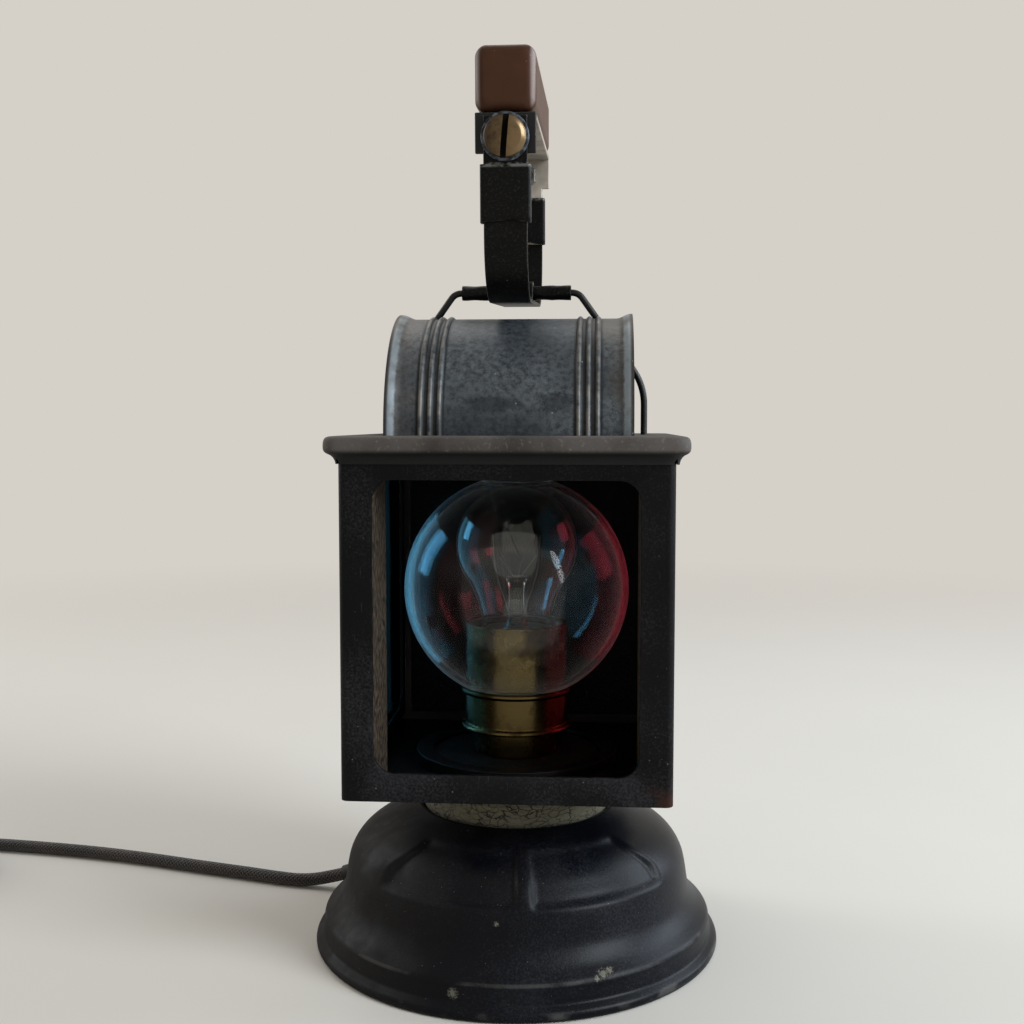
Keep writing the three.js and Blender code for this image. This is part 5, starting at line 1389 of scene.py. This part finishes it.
# Handle frame: a bent steel bar under the grip with two wide tangs and narrower tongues. Its black paint
# has worn to grey metal on the inner faces.
tang = Finish("worn_tang")
tang_cloud = tang.noise(90, 5)
tang_edges = tang.edges(0.7 * mm)
inner_face = tang.rise(abs(tang.axis("Y")), 48.9 * mm, 48.0 * mm)
bare = (inner_face * 0.85 + tang_edges * 0.6 * tang.rise(tang_cloud, 0.4, 0.6)).math("MINIMUM", 1.0)
tang_metal = tang.mix(
    tang.rise(tang_cloud, 0.3, 0.7), (140, 132, 122), (184, 174, 162))
tang.surface(
    Base_Color=tang.mix(bare, (11, 12, 15), tang_metal), Metallic=bare * 0.3, Roughness=0.5,
    Specular_IOR_Level=0.3,
    Normal=tang.bump(tang_cloud + tang.noise(900, 3) * 0.5, 0.08 * mm))
frame_half, frame_gauge, frame_width = 49.1 * mm, 1.6 * mm, 19.2 * mm
frame_top, tongue_low, tang_low = 54 * mm, 20.3 * mm, 41.5 * mm
frame_inside, under_top = frame_half - frame_gauge, frame_top - frame_gauge
frame_line = [(-frame_half, tongue_low), (-frame_half, frame_top), (frame_half, frame_top),
              (frame_half, tongue_low), (frame_inside, tongue_low), (frame_inside, under_top),
              (-frame_inside, under_top), (-frame_inside, tongue_low)]
tang_bar = prism("tangs", frame_line, -frame_width / 2, frame_width / 2, tang, "X")
beside = []
for sign in (-1, 1):
    beside_x = sorted((sign * strap_width / 2, sign * frame_width))
    beside.append(block("beside", (beside_x[0], -through, tongue_low - over),
                        (beside_x[1], through, tang_low), tang, 0))
cut(tang_bar, [*beside, rod(*screw_way)])
soften(tang_bar, 0.35 * mm)
fit(leaned(tang_bar), "handle", "steel", "handle_frame")

# Sleeves: short boxes folded from thin black sheet, open at both ends, with a slightly wavy lower edge.
# They hold the strap's arms on the frame's tongues.
sleeve_outer, sleeve_inner, sleeve_width, sleeve_wall = 51.6 * mm, 46.5 * mm, 16 * mm, 0.7 * mm
sleeve_low, sleeve_high = 20 * mm, 38 * mm
sleeve_rows = 10
sleeve_foot = sleeve_low + 0.5 * mm
for side, sign in (("front", -1), ("back", 1)):
    ring = rounded(sleeve_width / 2, (sleeve_outer - sleeve_inner) / 2, 1.0 * mm, 4)
    middle = sign * (sleeve_outer + sleeve_inner) / 2
    dense = []
    for (x0, y0), (x1, y1) in zip(ring, ring[1:] + ring[:1]):
        parts = max(1, round(math.hypot(x1 - x0, y1 - y0) / (1.6 * mm)))
        dense += [(x0 + (x1 - x0) * k / parts, y0 + (y1 - y0) * k / parts) for k in range(parts)]
    points = []
    for row in range(sleeve_rows + 1):
        share = row / sleeve_rows
        for x, y in dense:
            wave = 0.35 * mm * math.sin(x / (2.6 * mm) + 1.1) + 0.2 * mm * math.sin(x / (1.1 * mm))
            z = sleeve_foot + (sleeve_high - sleeve_foot) * share + wave * (1 - share) ** 2
            points.append((x, middle + y * (1 + 0.02 * math.sin(4 * share)), z))
    faces = ring_faces(sleeve_rows + 1, len(dense), False)
    sleeve = made(f"sleeve_{side}_folded", points, faces, black)
    wall = sleeve.modifiers.new("wall", "SOLIDIFY")
    wall.thickness = sleeve_wall
    wall.offset = -1
    shaded(soften(settled(sleeve), 0.15 * mm))
    fit(leaned(sleeve), "handle", "black_steel", f"sleeve_{side}")

# Screws: domed brass slotted heads over steel washers, one through each tang, with a nut inside. The
# brass is tarnished and carries painted shade that darkens it towards the left; the slots are near-black.
old_brass = Finish("old_brass")
patina_cloud = old_brass.noise(150, 5)
# Tarnish and painted shade: patches of tarnish, and darker towards the left as painted shade.
tarnish_and_left_shade = old_brass.rise(
    patina_cloud * 0.5 + old_brass.axis("X") * -36 + old_brass.noise(700, 3) * 0.3, 0.2, 0.74)
old_brass.surface(
    Base_Color=old_brass.mix(tarnish_and_left_shade, (112, 92, 66), (38, 28, 17)), Metallic=0.7,
    Roughness=tarnish_and_left_shade * 0.2 + 0.3, Normal=old_brass.bump(patina_cloud, 0.12 * mm))
old_steel = Finish("old_steel")
old_steel.surface(
    Base_Color=old_steel.mix(
        old_steel.rise(old_steel.noise(420, 5), 0.4, 0.62), (20, 22, 25), (86, 94, 102)),
    Metallic=0.4, Roughness=0.55, Normal=old_steel.grain(500, 0.15 * mm, 4))
# The slots' faces are near-black.
slot_dirt = Finish("slot_dirt")
slot_dirt.surface(
    Base_Color=slot_dirt.mix(slot_dirt.noise(900), (5, 4, 4), (24, 19, 14)), Roughness=0.9,
    Specular_IOR_Level=0.1)
for side, sign in (("front", -1), ("back", 1)):
    washer_line = outline_of([(3.3, 50.9), (7.6, 50.9), (7.6, 51.7), (3.3, 51.7)], 0.25)
    washer = turned(f"washer_{side}_fine", washer_line, 64, old_steel, "Y")
    head_line = outline_of([
        (0, 42.2), (2.6, 42.2), (3, 42.7), (3, 52), (6.7, 52), (6.7, 52.5), (6.4, 53.2), (5.2, 53.95),
        (3, 54.4), (0, 54.5)], 0.3, False)
    head = turned(f"screw_{side}_fine", head_line, 96, old_brass, "Y")
    slot_cut = block("slot", (-0.9 * mm, 53.0 * mm, -9 * mm), (0.9 * mm, 58 * mm, 9 * mm), brass, 0)
    cut(head, [slot_cut])
    soften(head, 0.12 * mm)
    head.data.materials.append(slot_dirt.material)
    for face in head.data.polygons:
        if abs(face.center.x) < 0.93 * mm and face.center.y > 52.8 * mm:
            face.material_index = 1
    nut = prism(f"screw_nut_{side}_fine", [
        (5 * mm * math.sin(math.pi / 3 * k), 5 * mm * math.cos(math.pi / 3 * k)) for k in range(6)],
        45.3 * mm, 47.2 * mm, steel, "Y")
    cut(nut, [rod(screw_bore, 40 * mm, 50 * mm, 32, steel, "Y")])
    soften(nut, 0.25 * mm)
    for piece, slot_name, node in ((washer, "steel", f"washer_{side}"), (head, "brass", f"screw_{side}"),
                                   (nut, "steel", f"screw_nut_{side}")):
        tilt = -math.radians(5) if piece is head else 0
        piece.data.transform(Matrix.Translation((0, 0, screw_z)) @ Matrix.Rotation(tilt, 4, "Y"))
        if sign < 0:
            piece.data.transform(Matrix.Rotation(math.pi, 4, "Z"))
        fit(leaned(piece), "handle", slot_name, node)

# Grip: a solid bar of brown moulded resin with rounded edges, slightly crowned, and polished by use, with
# a painted highlight on the upright edges of its ends. It is fixed to the frame from below.
resin = Finish("grip_resin")
resin_cloud = resin.noise(24, 5, (1, 0.4, 1))
resin_mottle = resin.noise(160, 4)
# Painted highlight, partly wear: the upright rounded edges of the grip's end faces are lightened.
resin_edge_highlight = resin.rise(abs(resin.axis("X")), 7.4 * mm, 8.8 * mm) * resin.rise(
    abs(resin.axis("Y") + 4.4 * mm), 46.8 * mm, 48.8 * mm)
resin_specks = resin.specks(520, 0.11, 0.12).math("MAXIMUM", resin.specks(900, 0.13, 0.06))
resin.surface(
    Base_Color=resin.layered(
        resin.mix(resin_cloud, (50, 32, 24), (70, 47, 36)), (resin_mottle * 0.3, (92, 64, 49)),
        (resin_edge_highlight * 0.6, (160, 146, 142)), (resin_specks * 0.6, (150, 128, 114))),
    Roughness=resin_mottle * 0.14 + 0.36, Specular_IOR_Level=0.1,
    Normal=resin.bump(resin_cloud + resin_mottle * 0.4, 0.12 * mm, resin.grain(1500, 0.02 * mm)))
grip_half_x, grip_half_y, grip_height = 9.6 * mm, 50 * mm, 19.7 * mm
grip_foot = frame_top + touch
grip_rows = 60
grip_points = []
grip_ring = rounded(grip_half_x, grip_height / 2, 3.2 * mm, 10)
end_round = 3.4 * mm
grip_crown = 0.9 * mm
for row in range(grip_rows + 1):
    share = row / grip_rows
    y = -grip_half_y * math.cos(math.pi * share)
    into = max(0.0, (abs(y) - (grip_half_y - end_round)) / end_round)
    shrink = end_round * (1 - math.sqrt(max(0.0, 1 - into ** 2)))
    for x, z in grip_ring:
        z += grip_crown * (1 - (x / grip_half_x) ** 2) * (1 if z > 0 else 0)
        up = grip_foot + grip_height / 2 + z * (1 - 2 * shrink / grip_height)
        grip_points.append((x * (1 - shrink / grip_half_x), y, up))
grip = made("grip_bar", grip_points, ring_faces(grip_rows + 1, len(grip_ring)), resin)
shaded(outward(grip), 60)
fit(leaned(grip), "handle", "grip_moulding", "grip")
